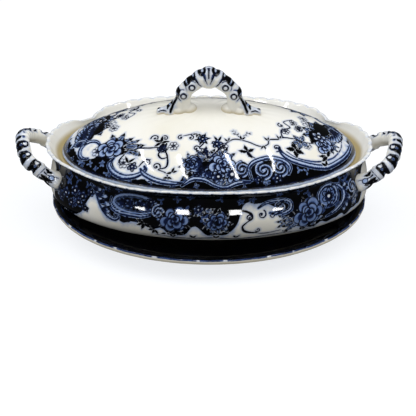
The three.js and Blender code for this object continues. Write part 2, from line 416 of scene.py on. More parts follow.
def rose(patch, radius, tone):
    """A full flower: broad outer petals, a smaller ring, and a cup set a little high."""
    patch.ink("dark", patch.oval(0, 0, radius * 0.95, radius * 0.88))
    for count, reach, length, width, lift in ((6, 0.66, 0.36, 0.37, 0), (4, 0.36, 0.32, 0.33, 0.05),
                                              (3, 0.14, 0.22, 0.24, 0.12)):
        for i in range(count):
            turn = 360 * (i + 0.35 * count) / count + 9 * math.sin(2.4 * i)
            grow = radius * (1 + 0.12 * math.sin(1.7 * i + count))
            cx, cy = heading(turn) * grow * reach + (0, radius * lift)
            petal(patch, cx, cy, grow * length, grow * width, turn, tone)
    patch.ink("dark", patch.oval(0, radius * 0.16, radius * 0.1, radius * 0.12))


def daisy(patch, radius, petals, turn, tone):
    for i in range(petals):
        angle = turn + 360 * i / petals
        cx, cy = heading(angle) * radius * 0.6
        petal(patch, cx, cy, radius * 0.4, radius * 0.3, angle, tone)
    heart = patch.oval(0, 0, radius * 0.24, radius * 0.24)
    patch.clear(heart)
    patch.outline(heart, 0.9)


def ringlet(patch, radius):
    """A little open blossom seen as two rings of dots."""
    for i in range(6):
        cx, cy = heading(60 * i + 15) * radius * 0.66
        patch.outline(patch.oval(cx, cy, radius * 0.33, radius * 0.33), 0.8)
    patch.ink("line", patch.oval(0, 0, radius * 0.24, radius * 0.24))


def leaf(patch, start, turn, length, width, teeth=4, pale=True):
    """A pointed, toothed leaf from start towards turn, black with blue lights either side of its rib."""
    c, s = heading(turn)
    dx, dy = patch.x - start[0], patch.y - start[1]
    along, across = (dx * c + dy * s) / length, dy * c - dx * s
    inside = np.clip(along, 0, 1)
    swell = np.sin(np.pi * inside**0.75)
    shape = np.abs(across) - width / 2 * swell * (1 - 0.35 * ((inside * teeth) % 1))
    beyond = np.hypot(across, (along - inside) * length)
    shape = np.where(along == inside, shape, beyond)
    patch.clear(shape - 0.35)
    patch.ink("dark", shape)
    if pale and length > 9:
        light = np.abs(np.abs(across) - width * 0.16 * swell) - width * 0.075 * swell
        light = np.maximum(light, np.abs(along - 0.45) * length - length * 0.3)
        patch.clear(light, 0.75)


def leaf_fan(patch, start, turns, length, width, **how):
    for turn in turns:
        leaf(patch, start, turn, length, width, **how)


def lobes(patch, spine, count, length, width, side, tone):
    """Curling leaflets along one side of a spine: half an acanthus leaf."""
    spine = np.asarray(spine, float)
    for i in range(count):
        place = min(int((i + 0.5) / count * (len(spine) - 1)), len(spine) - 2)
        run = spine[place + 1] - spine[place]
        turn = math.degrees(math.atan2(run[1], run[0])) + side * 50
        reach = length * (0.65 + 0.5 * math.sin(math.pi * (i + 0.5) / count))
        middle = spine[place] + heading(turn) * reach * 0.5
        petal(patch, middle[0], middle[1], reach * 0.52, width * 0.5, turn, tone)


def acanthus(patch, spine, count, length, width, tone):
    lobes(patch, spine, count, length, width, 1, tone)
    lobes(patch, spine, count, length, width, -1, tone)
    patch.ink("dark", patch.stroke(spine, [1.6, 0.7]))


def scroll_band(patch, path, widths, tone=0.6):
    """A scroll edged in black, deep blue with a pale light along its upper side."""
    path = np.asarray(path, float)
    lift = np.zeros(path.shape[1])
    lift[-1] = 0.17 * max(widths)
    band = patch.stroke(path, widths)
    patch.clear(band - 0.8)
    patch.wash(band - 0.6, min(tone + 0.35, 1.0), 1.0)
    light = patch.stroke(path + lift, [w * 0.46 for w in widths])
    patch.clear(np.maximum(light, band + 0.3), tone * 0.35)
    patch.ink("line", patch.stroke(path - lift * 1.3, [w * 0.14 for w in widths]))
    patch.outline(band, 1.0)


def roundel(patch, rx, ry, tone):
    """Two pale scrolls wound into each other on the dark ground, closing on an eye."""
    patch.ink("dark", patch.oval(0, 0, rx, ry))
    stretch = np.array([rx, ry])
    wide = min(rx, ry) * 0.3
    for turn in (90, 270):
        path = curl((0, 0), 1.0, 0.95, turn, 0.2) * stretch
        band = patch.stroke(path, [wide, wide * 0.8, wide * 0.5])
        patch.clear(band, min(tone + 0.3, 1.0))
        light = patch.stroke(path * 1.06, [wide * 0.45, wide * 0.35, wide * 0.2])
        patch.clear(light, tone * 0.4)
        patch.ink("line", np.abs(band) - 0.35)
    patch.clear(patch.oval(0, 0, rx * 0.17, ry * 0.17), 0.3)


def cartouche(patch, rx, ry, tone):
    """A double oval frame round small flowers on a dark ground."""
    edge = patch.oval(0, 0, rx, ry)
    patch.clear(edge - 1.8, 0.5)
    patch.outline(edge - 1.6, 0.9)
    patch.ink("dark", edge + 0.6)
    for cx in (-rx * 0.62, -rx * 0.22, rx * 0.2, rx * 0.6):
        for i in range(5):
            spot = heading(72 * i + 10 + cx) * ry * 0.34 + (cx, 0)
            petal(patch, spot[0], spot[1], ry * 0.28, ry * 0.2, 72 * i + 10 + cx, tone)
    patch.clear(np.abs(edge + 1.9) - 0.45, tone)


def scatter(at, motif, spots, *settings):
    """Draws a motif at each (angle, level, size)."""
    for angle, level, size in spots:
        motif(at(angle, level, size * 1.5 + 3), size, *settings)


def fans(at, spots, **how):
    """Draws leaves at each (angle, level, length, width, directions)."""
    for angle, level, length, width, turns in spots:
        leaf_fan(at(angle, level, length * 1.2 + 3), (0, 0), turns, length, width, **how)


def tendrils(at, spots):
    """Draws a curl round an eye at each (angle, level, radius, start, flip)."""
    for angle, level, radius, start, flip in spots:
        patch = at(angle, level, radius * 1.5 + 2)
        width = 1.0 + radius * 0.12
        patch.ink("line", patch.stroke(curl((0, 0), radius, 1.1, start, 0.2, flip), [width, width * 0.6]))
        patch.ink("line", patch.oval(0, 0, radius * 0.26, radius * 0.26))


def sprig(patch, length, turn, leaves):
    """A stem with small leaves in pairs and a curl at the tip."""
    run = heading(turn)
    side = heading(turn + 90)
    path = smooth_path([(0, 0), run * length * 0.5 + side * length * 0.08, run * length], 5)
    patch.ink("line", patch.stroke(path, [1.0, 0.6]))
    for i in range(leaves):
        at = path[int((i + 1) / (leaves + 1) * (len(path) - 1))]
        leaf(patch, at, turn + (52 if i % 2 else -52), length * 0.34, length * 0.17, 2, False)


def thicket(ink, places, size, seed, layer=None, tone=0.7):
    """Small blue leaflets crowded on a dark ground, at (angle, level) places."""
    draw = np.random.default_rng(seed)
    for angle, level in places:
        patch = ink.patch(angle, level, size * 2.6, turn=draw.uniform(0, 360))
        count = int(draw.integers(3, 6))
        shade_here = tone * draw.uniform(0.8, 1.2)
        for i in range(count):
            turn = i * 360 / count + draw.uniform(-15, 15)
            cx, cy = heading(turn) * size * draw.uniform(0.45, 0.8)
            leaflet = patch.oval(cx, cy, size * 0.55, size * 0.26, turn)
            patch.clear(leaflet, shade_here)
            if layer:
                patch.ink(layer, leaflet)
            patch.ink("line", patch.stroke([(cx * 0.5, cy * 0.5), (cx * 1.3, cy * 1.3)], [0.7, 0.3]))


def half_tools(ink, half):
    """Patches, vines and scrolls on one half: angles are given for the front and turned by half."""

    def at(angle, level, reach):
        return ink.patch(angle + half, level, reach)

    def vine(knots, widths, layer="line"):
        patch, path = ink.ribbon([(angle + half, level) for angle, level in knots])
        patch.ink(layer, patch.stroke(path, widths))

    def scroll(knots, widths):
        scroll_band(*ink.ribbon([(angle + half, level) for angle, level in knots]), widths)

    return at, vine, scroll


# ---- Glaze materials ----


class Nodes:
    """Adds shader nodes to a material or world, with inputs set from numbers or other nodes."""

    def __init__(self, owner):
        owner.use_nodes = True
        self.tree = owner.node_tree

    def put(self, socket, value):
        if isinstance(value, bpy.types.NodeSocket):
            self.tree.links.new(value, socket)
        elif value is not None:
            socket.default_value = value

    def add(self, kind, *inputs, out=0, **settings):
        node = self.tree.nodes.new(kind)
        for key, value in settings.items():
            setattr(node, key, value)
        for socket, value in zip(node.inputs, inputs):
            self.put(socket, value)
        return node.outputs[out]

    def math(self, operation, *inputs):
        return self.add("ShaderNodeMath", *inputs, operation=operation)

    def field(self, name):
        return self.add("ShaderNodeAttribute", out=2, attribute_name=name)

    def noise(self, scale, detail=3.0):
        place = self.add("ShaderNodeTexCoord", out=3)
        return self.add("ShaderNodeTexNoise", place, None, scale, detail, 0.5)

    def between(self, value, *limits):
        """Eases from a low to a high value, and into a low to a high result where those are given."""
        return self.add("ShaderNodeMapRange", value, *limits, interpolation_type="SMOOTHSTEP")

    def blend(self, share, *colours):
        unused = [None] * 5
        return self.add("ShaderNodeMix", share, *unused, *colours, out=2, data_type="RGBA")


def shade(red, green, blue):
    """A linear colour from everyday 0-255 values."""
    return tuple((c / 255) ** 2.2 for c in (red, green, blue)) + (1.0,)


CREAM = shade(241, 240, 234)
# The warm darker colour of the painted shade in creases, hollows and undersides.
PAINTED_SHADE_WARM = shade(186, 168, 122)
PALE_BLUE = shade(150, 170, 207)
STEEL_BLUE = shade(92, 116, 164)
MID_BLUE = shade(58, 78, 124)
DEEP_BLUE = shade(26, 36, 68)
NAVY = shade(10, 13, 24)
BLACK = shade(4, 5, 8)


def glaze_material(name, printed):
    """Cream body under a clear gloss glaze, warmed and darkened by painted shade in creases, hollows and
    undersides, with the ink layers under it when printed.
    """
    material = bpy.data.materials.new(name)
    nodes = Nodes(material)
    body = nodes.blend(nodes.between(nodes.noise(18.0, 2.0), 0.35, 0.75), CREAM, shade(234, 231, 218))
    # Painted shade: the body turns warm and darker where the field marks creases, hollows and undersides.
    body = nodes.blend(nodes.between(nodes.field("painted_shade"), 0.1, 1.0), body, PAINTED_SHADE_WARM)
    specks = nodes.between(nodes.noise(900.0, 1.0), 0.76, 0.82)
    body = nodes.blend(nodes.math("MULTIPLY", specks, 0.25), body, shade(150, 140, 120))
    shader = nodes.tree.nodes["Principled BSDF"]
    nodes.put(shader.inputs["Base Color"], inked(nodes, body) if printed else body)
    nodes.put(shader.inputs["Roughness"], nodes.between(nodes.noise(60.0, 3.0), 0.2, 0.8, 0.03, 0.06))
    shader.inputs["IOR"].default_value = 1.5
    shader.inputs["Specular IOR Level"].default_value = 0.5
    bump = nodes.tree.nodes.new("ShaderNodeBump")
    bump.inputs["Strength"].default_value = 0.12
    bump.inputs["Distance"].default_value = 0.0004
    nodes.put(bump.inputs["Height"], nodes.noise(130.0, 2.0))
    nodes.put(shader.inputs["Normal"], bump.outputs[0])
    return material


def inked(nodes, body):
    """The body colour under a soft halo, the wash, and then the mid, dark and line inks."""
    wobble = nodes.math("MULTIPLY_ADD", nodes.noise(420.0, 2.0), 0.9, -0.45)
    dark = nodes.math("ADD", nodes.field("dark"), wobble)
    mid = nodes.math("ADD", nodes.field("mid"), wobble)
    line = nodes.math("ADD", nodes.field("line"), nodes.math("MULTIPLY", wobble, 0.6))
    nearest_ink = nodes.math("MINIMUM", nodes.math("MINIMUM", dark, mid), line)
    colour = nodes.blend(nodes.between(nearest_ink, 0.0, 2.4, 0.5, 0.0), body, PALE_BLUE)
    mottle = nodes.noise(190.0, 3.0)
    wash = nodes.math("ADD", nodes.field("tone"), nodes.math("MULTIPLY_ADD", mottle, 0.36, -0.18))
    wash = nodes.math("MULTIPLY", wash, nodes.between(nodes.field("tone"), 0.0, 0.08))
    for low, high, blue in ((0.0, 0.35, PALE_BLUE), (0.3, 0.65, STEEL_BLUE), (0.6, 1.0, DEEP_BLUE)):
        colour = nodes.blend(nodes.between(wash, low, high), colour, blue)
    filling = nodes.blend(nodes.between(mottle, 0.3, 0.7), DEEP_BLUE, MID_BLUE)
    ground = nodes.blend(nodes.between(nodes.noise(90.0, 4.0), 0.5, 0.8), BLACK, NAVY)
    engraved = nodes.blend(nodes.between(mottle, 0.35, 0.8), NAVY, DEEP_BLUE)
    for distance, edge, colour_in in ((mid, 0.35, filling), (dark, 0.3, ground), (line, 0.22, engraved)):
        colour = nodes.blend(nodes.between(distance, -edge, edge, 1.0, 0.0), colour, colour_in)
    return colour


print_glaze = glaze_material("flow_blue_glaze", True)
cream_glaze = glaze_material("cream_glaze", False)


def dress(piece, material, body, slot, *nodes):
    piece.data.materials.clear()
    piece.data.materials.append(material)
    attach(piece, body)
    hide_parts(*nodes)


# ---- The bowl ----


def hump(value, middle, half_width):
    return np.exp(-(((value - middle) / half_width) ** 2))


def curve_through(knots):
    """A function that follows (place, value) knots with smooth bends, repeating every half turn."""
    knots = np.array(knots, float)
    places = np.concatenate([knots[:, 0] - 180, knots[:, 0], knots[:, 0] + 180])
    values = np.tile(knots[:, 1], 3)
    fine = np.linspace(-360, 180, 2161)
    sharp = np.interp(fine, places, values)
    kernel = np.hanning(17)
    smooth = np.convolve(sharp, kernel / kernel.sum(), mode="same")
    return lambda degrees: np.interp((np.asarray(degrees) % 180) - 180, fine, smooth)


RIM_ANGLES, RIM_LENGTHS = oval_lengths(RIM_R, RIM_R - BOWL_LOSS)


def degrees_from_end(angles):
    """How far round each ellipse angle is from the nearer end of the oval."""
    return np.degrees(np.arcsin(np.abs(np.sin(angles))))


def notches(angles):
    """1 at the middle of the four notches in the rim, fading to 0 either side."""
    return hump(degrees_from_end(angles), 36, 8)


def shape_bowl(points, angles):
    """Notched corners, swellings and scallops at the rim, and flatter ends to the belly."""
    x, y, z = points.T
    rim_share = np.clip((z - BELLY_Z) / (RIM_Z - BELLY_Z), 0, 1) ** 4
    notch = notches(angles)
    swell = hump(degrees_from_end(angles), 64, 13)
    bulge = hump(z, BELLY_Z, 14)
    turn = np.interp(angles, RIM_ANGLES, RIM_LENGTHS / RIM_LENGTHS[-1]) * SCALLOPS
    scallop = np.abs(np.sin(np.pi * turn)) ** 0.7
    edge_share = np.clip((z - NECK_Z - 3) / (RIM_Z - NECK_Z - 3), 0, 1) ** 2
    scale = 1 + rim_share * (0.03 * swell - 0.055 * notch) + edge_share * 0.009 * (scallop - 0.85)
    flatten = 1 - 0.028 * bulge * np.cos(angles) ** 2
    dip = rim_share * NOTCH_DEPTH * notch + edge_share * (1 - scallop)
    return np.column_stack([x * scale * flatten, y * scale, z - dip])


def bowl_outside():
    """The outside from the foot up to just under the rim."""
    foot = (BOWL_EVEN + 4, BOWL_UNDER)
    belly = bezier(foot, (138, BOWL_UNDER), (BELLY_R, 24), (BELLY_R, BELLY_Z))
    shoulder = bezier((BELLY_R, BELLY_Z), (BELLY_R, 53), (NECK_R, 58), (NECK_R, NECK_Z))
    flare = bezier((NECK_R, NECK_Z), (NECK_R, 71.5), (RIM_R, RIM_Z - 1))
    return np.vstack([belly, shoulder[1:], flare[1:]])


BOWL_OUTSIDE = bowl_outside()


def bowl_point(angle, level):
    """A point on the outside at an ellipse angle in degrees and a height in millimetres."""
    a = math.radians(angle)
    radius = np.interp(level, BOWL_OUTSIDE[:, 1], BOWL_OUTSIDE[:, 0])
    flat = np.array([[radius * math.cos(a), bowl_oval(radius) * math.sin(a), level]])
    return shape_bowl(flat, np.array([a % TAU]))[0]


def make_bowl():
    fine, coarse = 896, 224
    outside = resample(BOWL_OUTSIDE, 1.0)
    lip = resample(bezier(outside[-1], (RIM_R, RIM_Z + 0.6), (RIM_R - 3, RIM_Z)), 0.8)[1:]
    flare = resample(bezier(lip[-1], (141.5, 70), (138.5, LEDGE_Z + 1)), 1.4)[1:]
    low = LEDGE_Z - 3.8
    ledge = [(137.6, LEDGE_Z + 0.3), (136.4, LEDGE_Z), (133.2, LEDGE_Z), (LEDGE_R + 0.3, LEDGE_Z - 0.3),
             (LEDGE_R, LEDGE_Z - 1), (LEDGE_R, low + 0.8), (LEDGE_R + 0.6, low)]
    inside_r = BELLY_R - WALL
    well = resample(bezier(ledge[-1], (140, low - 2), (inside_r, 55), (inside_r, BELLY_Z)), 3)[1:]
    basin = resample(bezier(well[-1], (inside_r, 28), (136, BOWL_FLOOR), (BOWL_EVEN + 1, BOWL_FLOOR)), 3)[1:]
    middle = [80, 45, 18]
    floor = [(radius, BOWL_FLOOR) for radius in middle + [0]]
    base = [(radius, BOWL_UNDER) for radius in [0] + middle[::-1] + [98]]
    rows = np.vstack([base, outside, lip, flare, ledge, well, basin, floor])
    counts = [1, coarse // 2, coarse // 2, coarse, fine // 2]
    counts += [fine] * (len(outside) + len(lip) + len(flare)) + [fine // 2]
    counts += [coarse] * (len(ledge) - 1 + len(well) + len(basin))
    counts += [coarse, coarse // 2, coarse // 2, 1]
    points, quads, tris, angles = turned(rows, counts, bowl_oval, shape_bowl)
    piece = make_object("bowl_body", points, quads, tris)
    row = np.repeat(np.arange(len(rows)), counts)
    first_in = len(base) + len(outside) + len(lip)
    printable = (row >= len(base)) & (row < first_in)
    above_ledge = (row >= first_in) & (row < first_in + len(flare) + 4)
    # Painted shade: warm darkening on the flare down towards the ledge, and over the inside of the bowl below
    # it.
    corner_shade = np.clip((LEDGE_Z + 5.5 - points[:, 2]) / 5, 0, 1) * above_ledge
    ink = Print(piece, bowl_point, printable)
    paint_bowl(ink, angles)
    ink.store(np.maximum(corner_shade, 0.35 * (row >= first_in + 14)))
    return piece


# The lower edge of the dark ground, as (angle, height) knots over the front half.
bowl_ground = curve_through([
    (-180, 60), (-172, 46), (-165, 31), (-155, 28), (-147, 28), (-141, 34), (-137, 52), (-133, 58),
    (-130, 48), (-127, 40), (-120, 41), (-112, 42), (-106, 38), (-103, 32), (-98, 33), (-95, 42),
    (-92, 40), (-89, 33), (-83, 33), (-80, 45), (-78, 60), (-72, 63), (-67, 60), (-64, 48),
    (-61, 38), (-54, 31), (-45, 32), (-38, 33), (-30, 32), (-22, 35), (-12, 48)])


def paint_bowl(ink, angles):
    height = ink.points[:, 2]
    wall = ink.part()
    around = angles[wall.index]
    ragged = 1.3 * np.sin(around * 37) + 0.9 * np.sin(around * 61 + 1)
    ground = bowl_ground(np.degrees(around)) + ragged - height[wall.index]
    wall.ink("dark", ground)
    wall.wash(ground, 0.5, 16)
    wreath = [(i * 3.6 + 2 * math.sin(i), 67 + 2.6 * math.sin(i * 2.4)) for i in range(0, 100, 2)]
    thicket(ink, wreath, 3.2, 3, "mid")
    for half in (180, 0):
        paint_bowl_side(ink, half)
    for end in (0, 180):
        root = ink.patch(end, 52, 44)
        root.clear(np.maximum(np.abs(root.x) - 26 + np.clip(root.y - 6, 0, 9) * 0.5, root.y - 19))
    lip = ink.part(height > RIM_Z - 9)
    around = angles[lip.index]
    below = RIM_Z - NOTCH_DEPTH * notches(around) - 1.5 - height[lip.index]
    lip.clear(below)
    ticks = np.sin(around * 97) + 0.7 * np.sin(around * 151 + 2)
    facing_out = (ink.normals[lip.index, 2] - 0.75) * 4
    lip.ink("mid", np.maximum(np.maximum(np.abs(below + 0.2) - 0.5, (0.6 - ticks) * 2), facing_out))


def paint_bowl_side(ink, half):
    crowd = [(-170 + 3.3 * i, 56 - 6 * math.sin(i * 1.9) - (i % 3) * 4) for i in range(0, 46, 2)]
    crowd = [(a + half, z) for a, z in crowd if z > bowl_ground(a) + 3]
    thicket(ink, crowd, 4.6, 11, "mid")
    for paint in (paint_bowl_left, paint_bowl_middle, paint_bowl_right):
        paint(*half_tools(ink, half))


def paint_bowl_left(at, vine, scroll):
    # From the left handle: small blossoms, a curled leaf, the oval frame and its eye.
    fans(at, [(-160, 48, 11, 5, (40, 95, 150, 230, 300)), (-156, 60, 9, 4.5, (200, 250, 300)),
              (-167, 56, 9, 4, (20, 80, 260))])
    scatter(at, daisy, [(-151, 49, 5.5), (-145, 55, 5.5), (-140, 53, 5), (-147, 42, 5), (-142, 46, 5.5),
                        (-138, 43, 4), (-155, 41, 4.5), (-136, 59, 4)], 5, 15, 1.6)
    scroll([(-136, 67), (-133, 61), (-130, 53), (-127, 44), (-124, 40.5), (-122, 44), (-123.5, 46)],
           [1.5, 4.5, 5.5, 4.0, 3.0, 2.0, 1.0])
    lobes(at(-131, 57, 24), smooth_path([(-9, 9), (-1, 0), (6, -12)]), 4, 9, 4.4, 1, 0.9)
    cartouche(at(-116, 58, 28), 20, 8, 1.3)
    scroll([(-126, 60), (-125, 52), (-120, 48.5), (-113, 49), (-108, 53)], [1, 2.6, 3.0, 2.6, 1])
    tendrils(at, [(-118, 43, 3.4, 100, 1), (-114.5, 44, 2.6, 80, -1), (-127, 66, 3.2, 0, 1)])
    fans(at, [(-112, 42, 8, 4, (150, 200, 250, 330)), (-108, 37, 7, 3.4, (190, 240, 290)),
              (-104, 34, 6, 3, (200, 330))], pale=False)
    scatter(at, roundel, [(-107, 54, 6.5)], 6.5, 0.45)


def paint_bowl_middle(at, vine, scroll):
    # The blue rose left of the middle and the dark flower beside it.
    fans(at, [(-101, 47, 15, 7, (20, 60, 150, 200, 250, 300, 340)), (-86.5, 46, 14, 7.5, range(0, 360, 40)),
              (-91, 56, 10, 5, (160, 200, 20))])
    scatter(at, rose, [(-101, 48, 12)], 1.5)
    scatter(at, rose, [(-86.5, 47, 8.5)], 2.1)
    scatter(at, daisy, [(-93, 58, 4.5), (-110, 62, 4)], 5, 15, 0.9)
    vine([(-108, 31), (-98, 28.5), (-88, 30), (-79, 27.5), (-66, 30), (-52, 29)], [1.1, 1.6, 0.9])
    fans(at, [(angle, 29.5, 5.5, 2.8, (50, 120)) for angle in (-102, -95, -87, -80, -62, -55)], pale=False)
    # The open curls on the clear ground.
    vine([(-80, 56), (-77.5, 56.5), (-75, 54), (-74.5, 50), (-76.5, 46.5), (-78, 42), (-77, 37), (-74, 35),
          (-72, 36.5)], [1.2, 2.6, 1.2, 2.8, 1.2], layer="dark")
    vine([(-74, 35), (-70, 33), (-64, 34.5)], [1.0, 1.4, 0.9])
    tendrils(at, [(-75.5, 50.5, 3.0, 30, 1), (-71, 52.5, 4.2, 60, -1), (-72.5, 38, 2.4, 200, 1),
                  (-67, 51, 3, 90, 1)])


def paint_bowl_right(at, vine, scroll):
    # A roundel, the great rose and the scrolls up to the right handle.
    scroll([(-72, 58), (-69, 61.5), (-64, 63), (-60, 60), (-60, 54), (-64, 51), (-68, 53)],
           [1, 2.4, 2.6, 2.6, 1])
    scatter(at, roundel, [(-64, 57, 5.5)], 5.0, 0.35)
    fans(at, [(-60, 43, 15, 6.5, (150, 176, 203)), (-52, 45, 18, 8, (20, 75, 110, 160, 250, 290, 330))])
    leaf_fan(at(-57, 41, 26), (0, 0), (168, 192, 216), 17, 7)
    scatter(at, rose, [(-52.5, 46, 13.5)], 1.6)
    frame = at(-42, 56.5, 20)
    frame.clear(frame.oval(0, 0, 10, 8.5), 0.6)
    scroll_band(frame, curl((0, 0), 11, 0.86, 200, 0.8, -1), [1.4, 3.4, 3.0, 1.2], 0.8)
    daisy(frame, 7.5, 6, 20, 1.5)
    scroll([(-39, 66), (-35, 62), (-33, 55), (-34.5, 47), (-39, 41), (-44, 38)], [1, 3.2, 4.0, 3.4, 1])
    lobes(at(-33, 52, 24), smooth_path([(-2, 12), (2, 0), (-4, -12)]), 5, 8, 4.2, 1, 0.7)
    scatter(at, roundel, [(-26.5, 55, 6)], 7, 0.4)
    fans(at, [(-24, 44, 10, 4.6, (60, 110, 170, 230))])
    tendrils(at, [(-20, 58, 4, 90, 1), (-29, 43, 3.6, 200, -1)])


# ---- The lid ----

LID_OUTSIDE = bezier((LID_R, LID_EDGE + 1.6), (128, 86), (55, LID_CROWN), (0, LID_CROWN), steps=200)


def lid_height(radius):
    return np.interp(radius, LID_OUTSIDE[::-1, 0], LID_OUTSIDE[::-1, 1])


def lid_point(angle, level):
    """A point on the dome at an ellipse angle in degrees; level is 0 at the edge and 1 at the crown."""
    a = math.radians(angle)
    radius = LID_R * (1 - level)
    return np.array([radius * math.cos(a), lid_oval(radius) * math.sin(a), float(lid_height(radius))])


def make_lid():
    fine = 832
    dome = resample(LID_OUTSIDE, 0.85)
    lower = dome[dome[:, 0] > LID_R * 0.45]
    upper = resample(LID_OUTSIDE[LID_OUTSIDE[:, 0] < lower[-1, 0]], 2.2)[1:-1]
    inner_crown = LID_CROWN - 4.6
    seat = (LID_INNER, LID_EDGE + 4)
    under = resample(bezier((0, inner_crown), (55, inner_crown), (118, 84), seat), 4)
    edge = [(LID_INNER, LID_EDGE + 0.5), (LID_INNER + 0.5, LID_EDGE), (LID_R - 1.8, LID_EDGE),
            (LID_R - 0.7, LID_EDGE + 0.4)]
    rows = np.vstack([under, edge, lower, upper, [(0, LID_CROWN)]])
    counts = [1] + [fine // 8] * 5 + [fine // 4] * (len(under) - 6) + [fine // 2] * 2 + [fine] * 2
    counts += [fine] * len(lower) + [fine // 2] * (len(upper) // 2)
    counts += [fine // 4] * (len(upper) - len(upper) // 2) + [1]
    points, quads, tris, angles = turned(rows, counts, lid_oval, flute_crown)
    piece = make_object("lid_body", points, quads, tris)
    row = np.repeat(np.arange(len(rows)), counts)
    ink = Print(piece, lid_point, row > len(under) + 1)
    paint_lid(ink, angles)
    # Painted shade over the underside of the lid.
    ink.store(0.6 * (row < len(under)))
    return piece


def flute_crown(points, angles):
    """Faint moulded flutes that die out down the dome."""
    share = np.hypot(points[:, 0], points[:, 1] / LID_RATIO) / LID_R
    depth = 0.22 * hump(share, 0.3, 0.14) * (points[:, 2] > lid_height(share * LID_R) - 0.5)
    drop = depth * (1 - np.cos(angles * LID_FLUTES)) / 2
    return points - drop[:, None] * (0, 0, 1)


# The upper edge of the dark ground, as (angle, level) knots over the front half.
lid_ground = curve_through([
    (-180, 0.06), (-172, 0.06), (-163, 0.065), (-155, 0.06), (-149, 0.10), (-144, 0.16), (-138, 0.18),
    (-131, 0.14), (-125, 0.09), (-121, 0.055), (-115, 0.035), (-107, 0.03), (-101, 0.04), (-98.5, 0.20),
    (-94, 0.26), (-89, 0.24), (-85, 0.28), (-79, 0.26), (-75, 0.17), (-71, 0.17), (-66, 0.21),
    (-58, 0.23), (-53, 0.21), (-50, 0.18), (-46, 0.13), (-41, 0.09), (-36, 0.06), (-28, 0.045),
    (-18, 0.045), (-6, 0.05)])
LEVEL_MM = 105


def paint_lid(ink, angles):
    radius = np.hypot(ink.points[:, 0], ink.points[:, 1] / LID_RATIO)
    dome = ink.part()
    level = 1 - radius[dome.index] / LID_R
    around = angles[dome.index]
    ragged = 0.006 * np.sin(around * 43) + 0.005 * np.sin(around * 71 + 1)
    ground = (level - lid_ground(np.degrees(around)) - ragged) * LEVEL_MM
    dome.ink("dark", ground)
    dome.wash(ground, 0.4, 14)
    for half in (180, 0):
        paint_lid_side(ink, half)
    edge = (level - 0.012) * LEVEL_MM
    dome.clear(edge, 0.25)
    dome.ink("line", np.abs(edge) - 0.5)


def paint_lid_side(ink, half):
    low = [(-178 + 9.3 * i + half, 0.03 + 0.01 * math.sin(i * 2.1)) for i in range(13)]
    thicket(ink, low, 2.6, 5, "mid")
    bright = [(-153, 0.035), (-146, 0.05), (-140, 0.08), (-134, 0.03), (-99, 0.06), (-66, 0.05),
              (-49, 0.08), (-46, 0.06)]
    thicket(ink, [(a + half, v) for a, v in bright], 2.8, 6, None, 0.75)
    for paint in (paint_lid_left, paint_lid_bay, paint_lid_middle, paint_lid_right):
        paint(*half_tools(ink, half))


def paint_lid_left(at, vine, scroll):
    # An acanthus plume round the end, dark behind.
    plume = at(-178, 0.16, 30)
    plume.ink("dark", plume.oval(2, 0, 15, 11))
    acanthus(plume, smooth_path([(16, -8), (6, -3), (-4, 2), (-12, 8)]), 8, 11, 5.0, 0.85)
    lobes(plume, smooth_path([(12, 4), (4, 8), (-6, 10)]), 6, 8, 4.2, 1, 0.9)
    # Two C-scrolls that hold a pale patch of faint blossoms.
    ring = at(-155, 0.12, 22)
    ring.clear(ring.oval(2, 2, 10, 9), 0.1)
    scroll_band(ring, curl((-1, 0), 11.5, 0.7, 60, 0.75, 1), [1.5, 3.6, 3.2, 1.4])
    ringlet(at(-150, 0.145, 12), 5.5)
    scroll([(-169, 0.06), (-171, 0.11), (-167, 0.15), (-163, 0.13)], [1.0, 2.6, 2.4, 1.0])
    # The rose with its pointed leaves.
    fans(at, [(-143, 0.23, 19, 10, (28, 62, 100, 140)), (-138, 0.24, 21, 9.5, (-26, 4, 34)),
              (-131, 0.21, 13, 6.5, (-60, -25))])
    behind = at(-142, 0.23, 20)
    behind.ink("dark", behind.oval(0, 0, 15, 10))
    leaves = at(-139, 0.25, 30)
    leaf_fan(leaves, (0, 1), (52, 28), 17, 7)
    leaf_fan(leaves, (3, -2), (6, -16), 19, 7.5)
    scatter(at, rose, [(-145, 0.205, 11.5)], 0.9)
    # The pale oval under the rose, in a strong scroll.
    oval = at(-127.5, 0.125, 22)
    oval.clear(oval.oval(0, 1, 14, 9.5), 0.08)
    ringlet(at(-130, 0.13, 10), 5)
    daisy(at(-124.5, 0.12, 9), 4.5, 5, 0, 0.2)
    leaf_fan(oval, (0, 2), (50, 130), 8, 3, pale=False)
    scroll([(-137, 0.15), (-136, 0.09), (-131, 0.05), (-125, 0.035), (-120, 0.06), (-117.5, 0.11),
            (-119, 0.14)], [1.0, 3.0, 4.2, 4.2, 3.6, 2.2, 1.0])
    vine([(-134, 0.20), (-133, 0.14), (-129, 0.10)], [0.9, 1.8, 0.8], layer="dark")
    # Faint sprays towards the crown.
    scatter(at, ringlet, [(-168, 0.35, 4.5), (-178, 0.33, 6.5), (168, 0.38, 4), (150, 0.24, 4)])
    fans(at, [(-176, 0.30, 6, 2.6, (40, 110)), (172, 0.42, 5, 2.2, (50, 140))], pale=False)


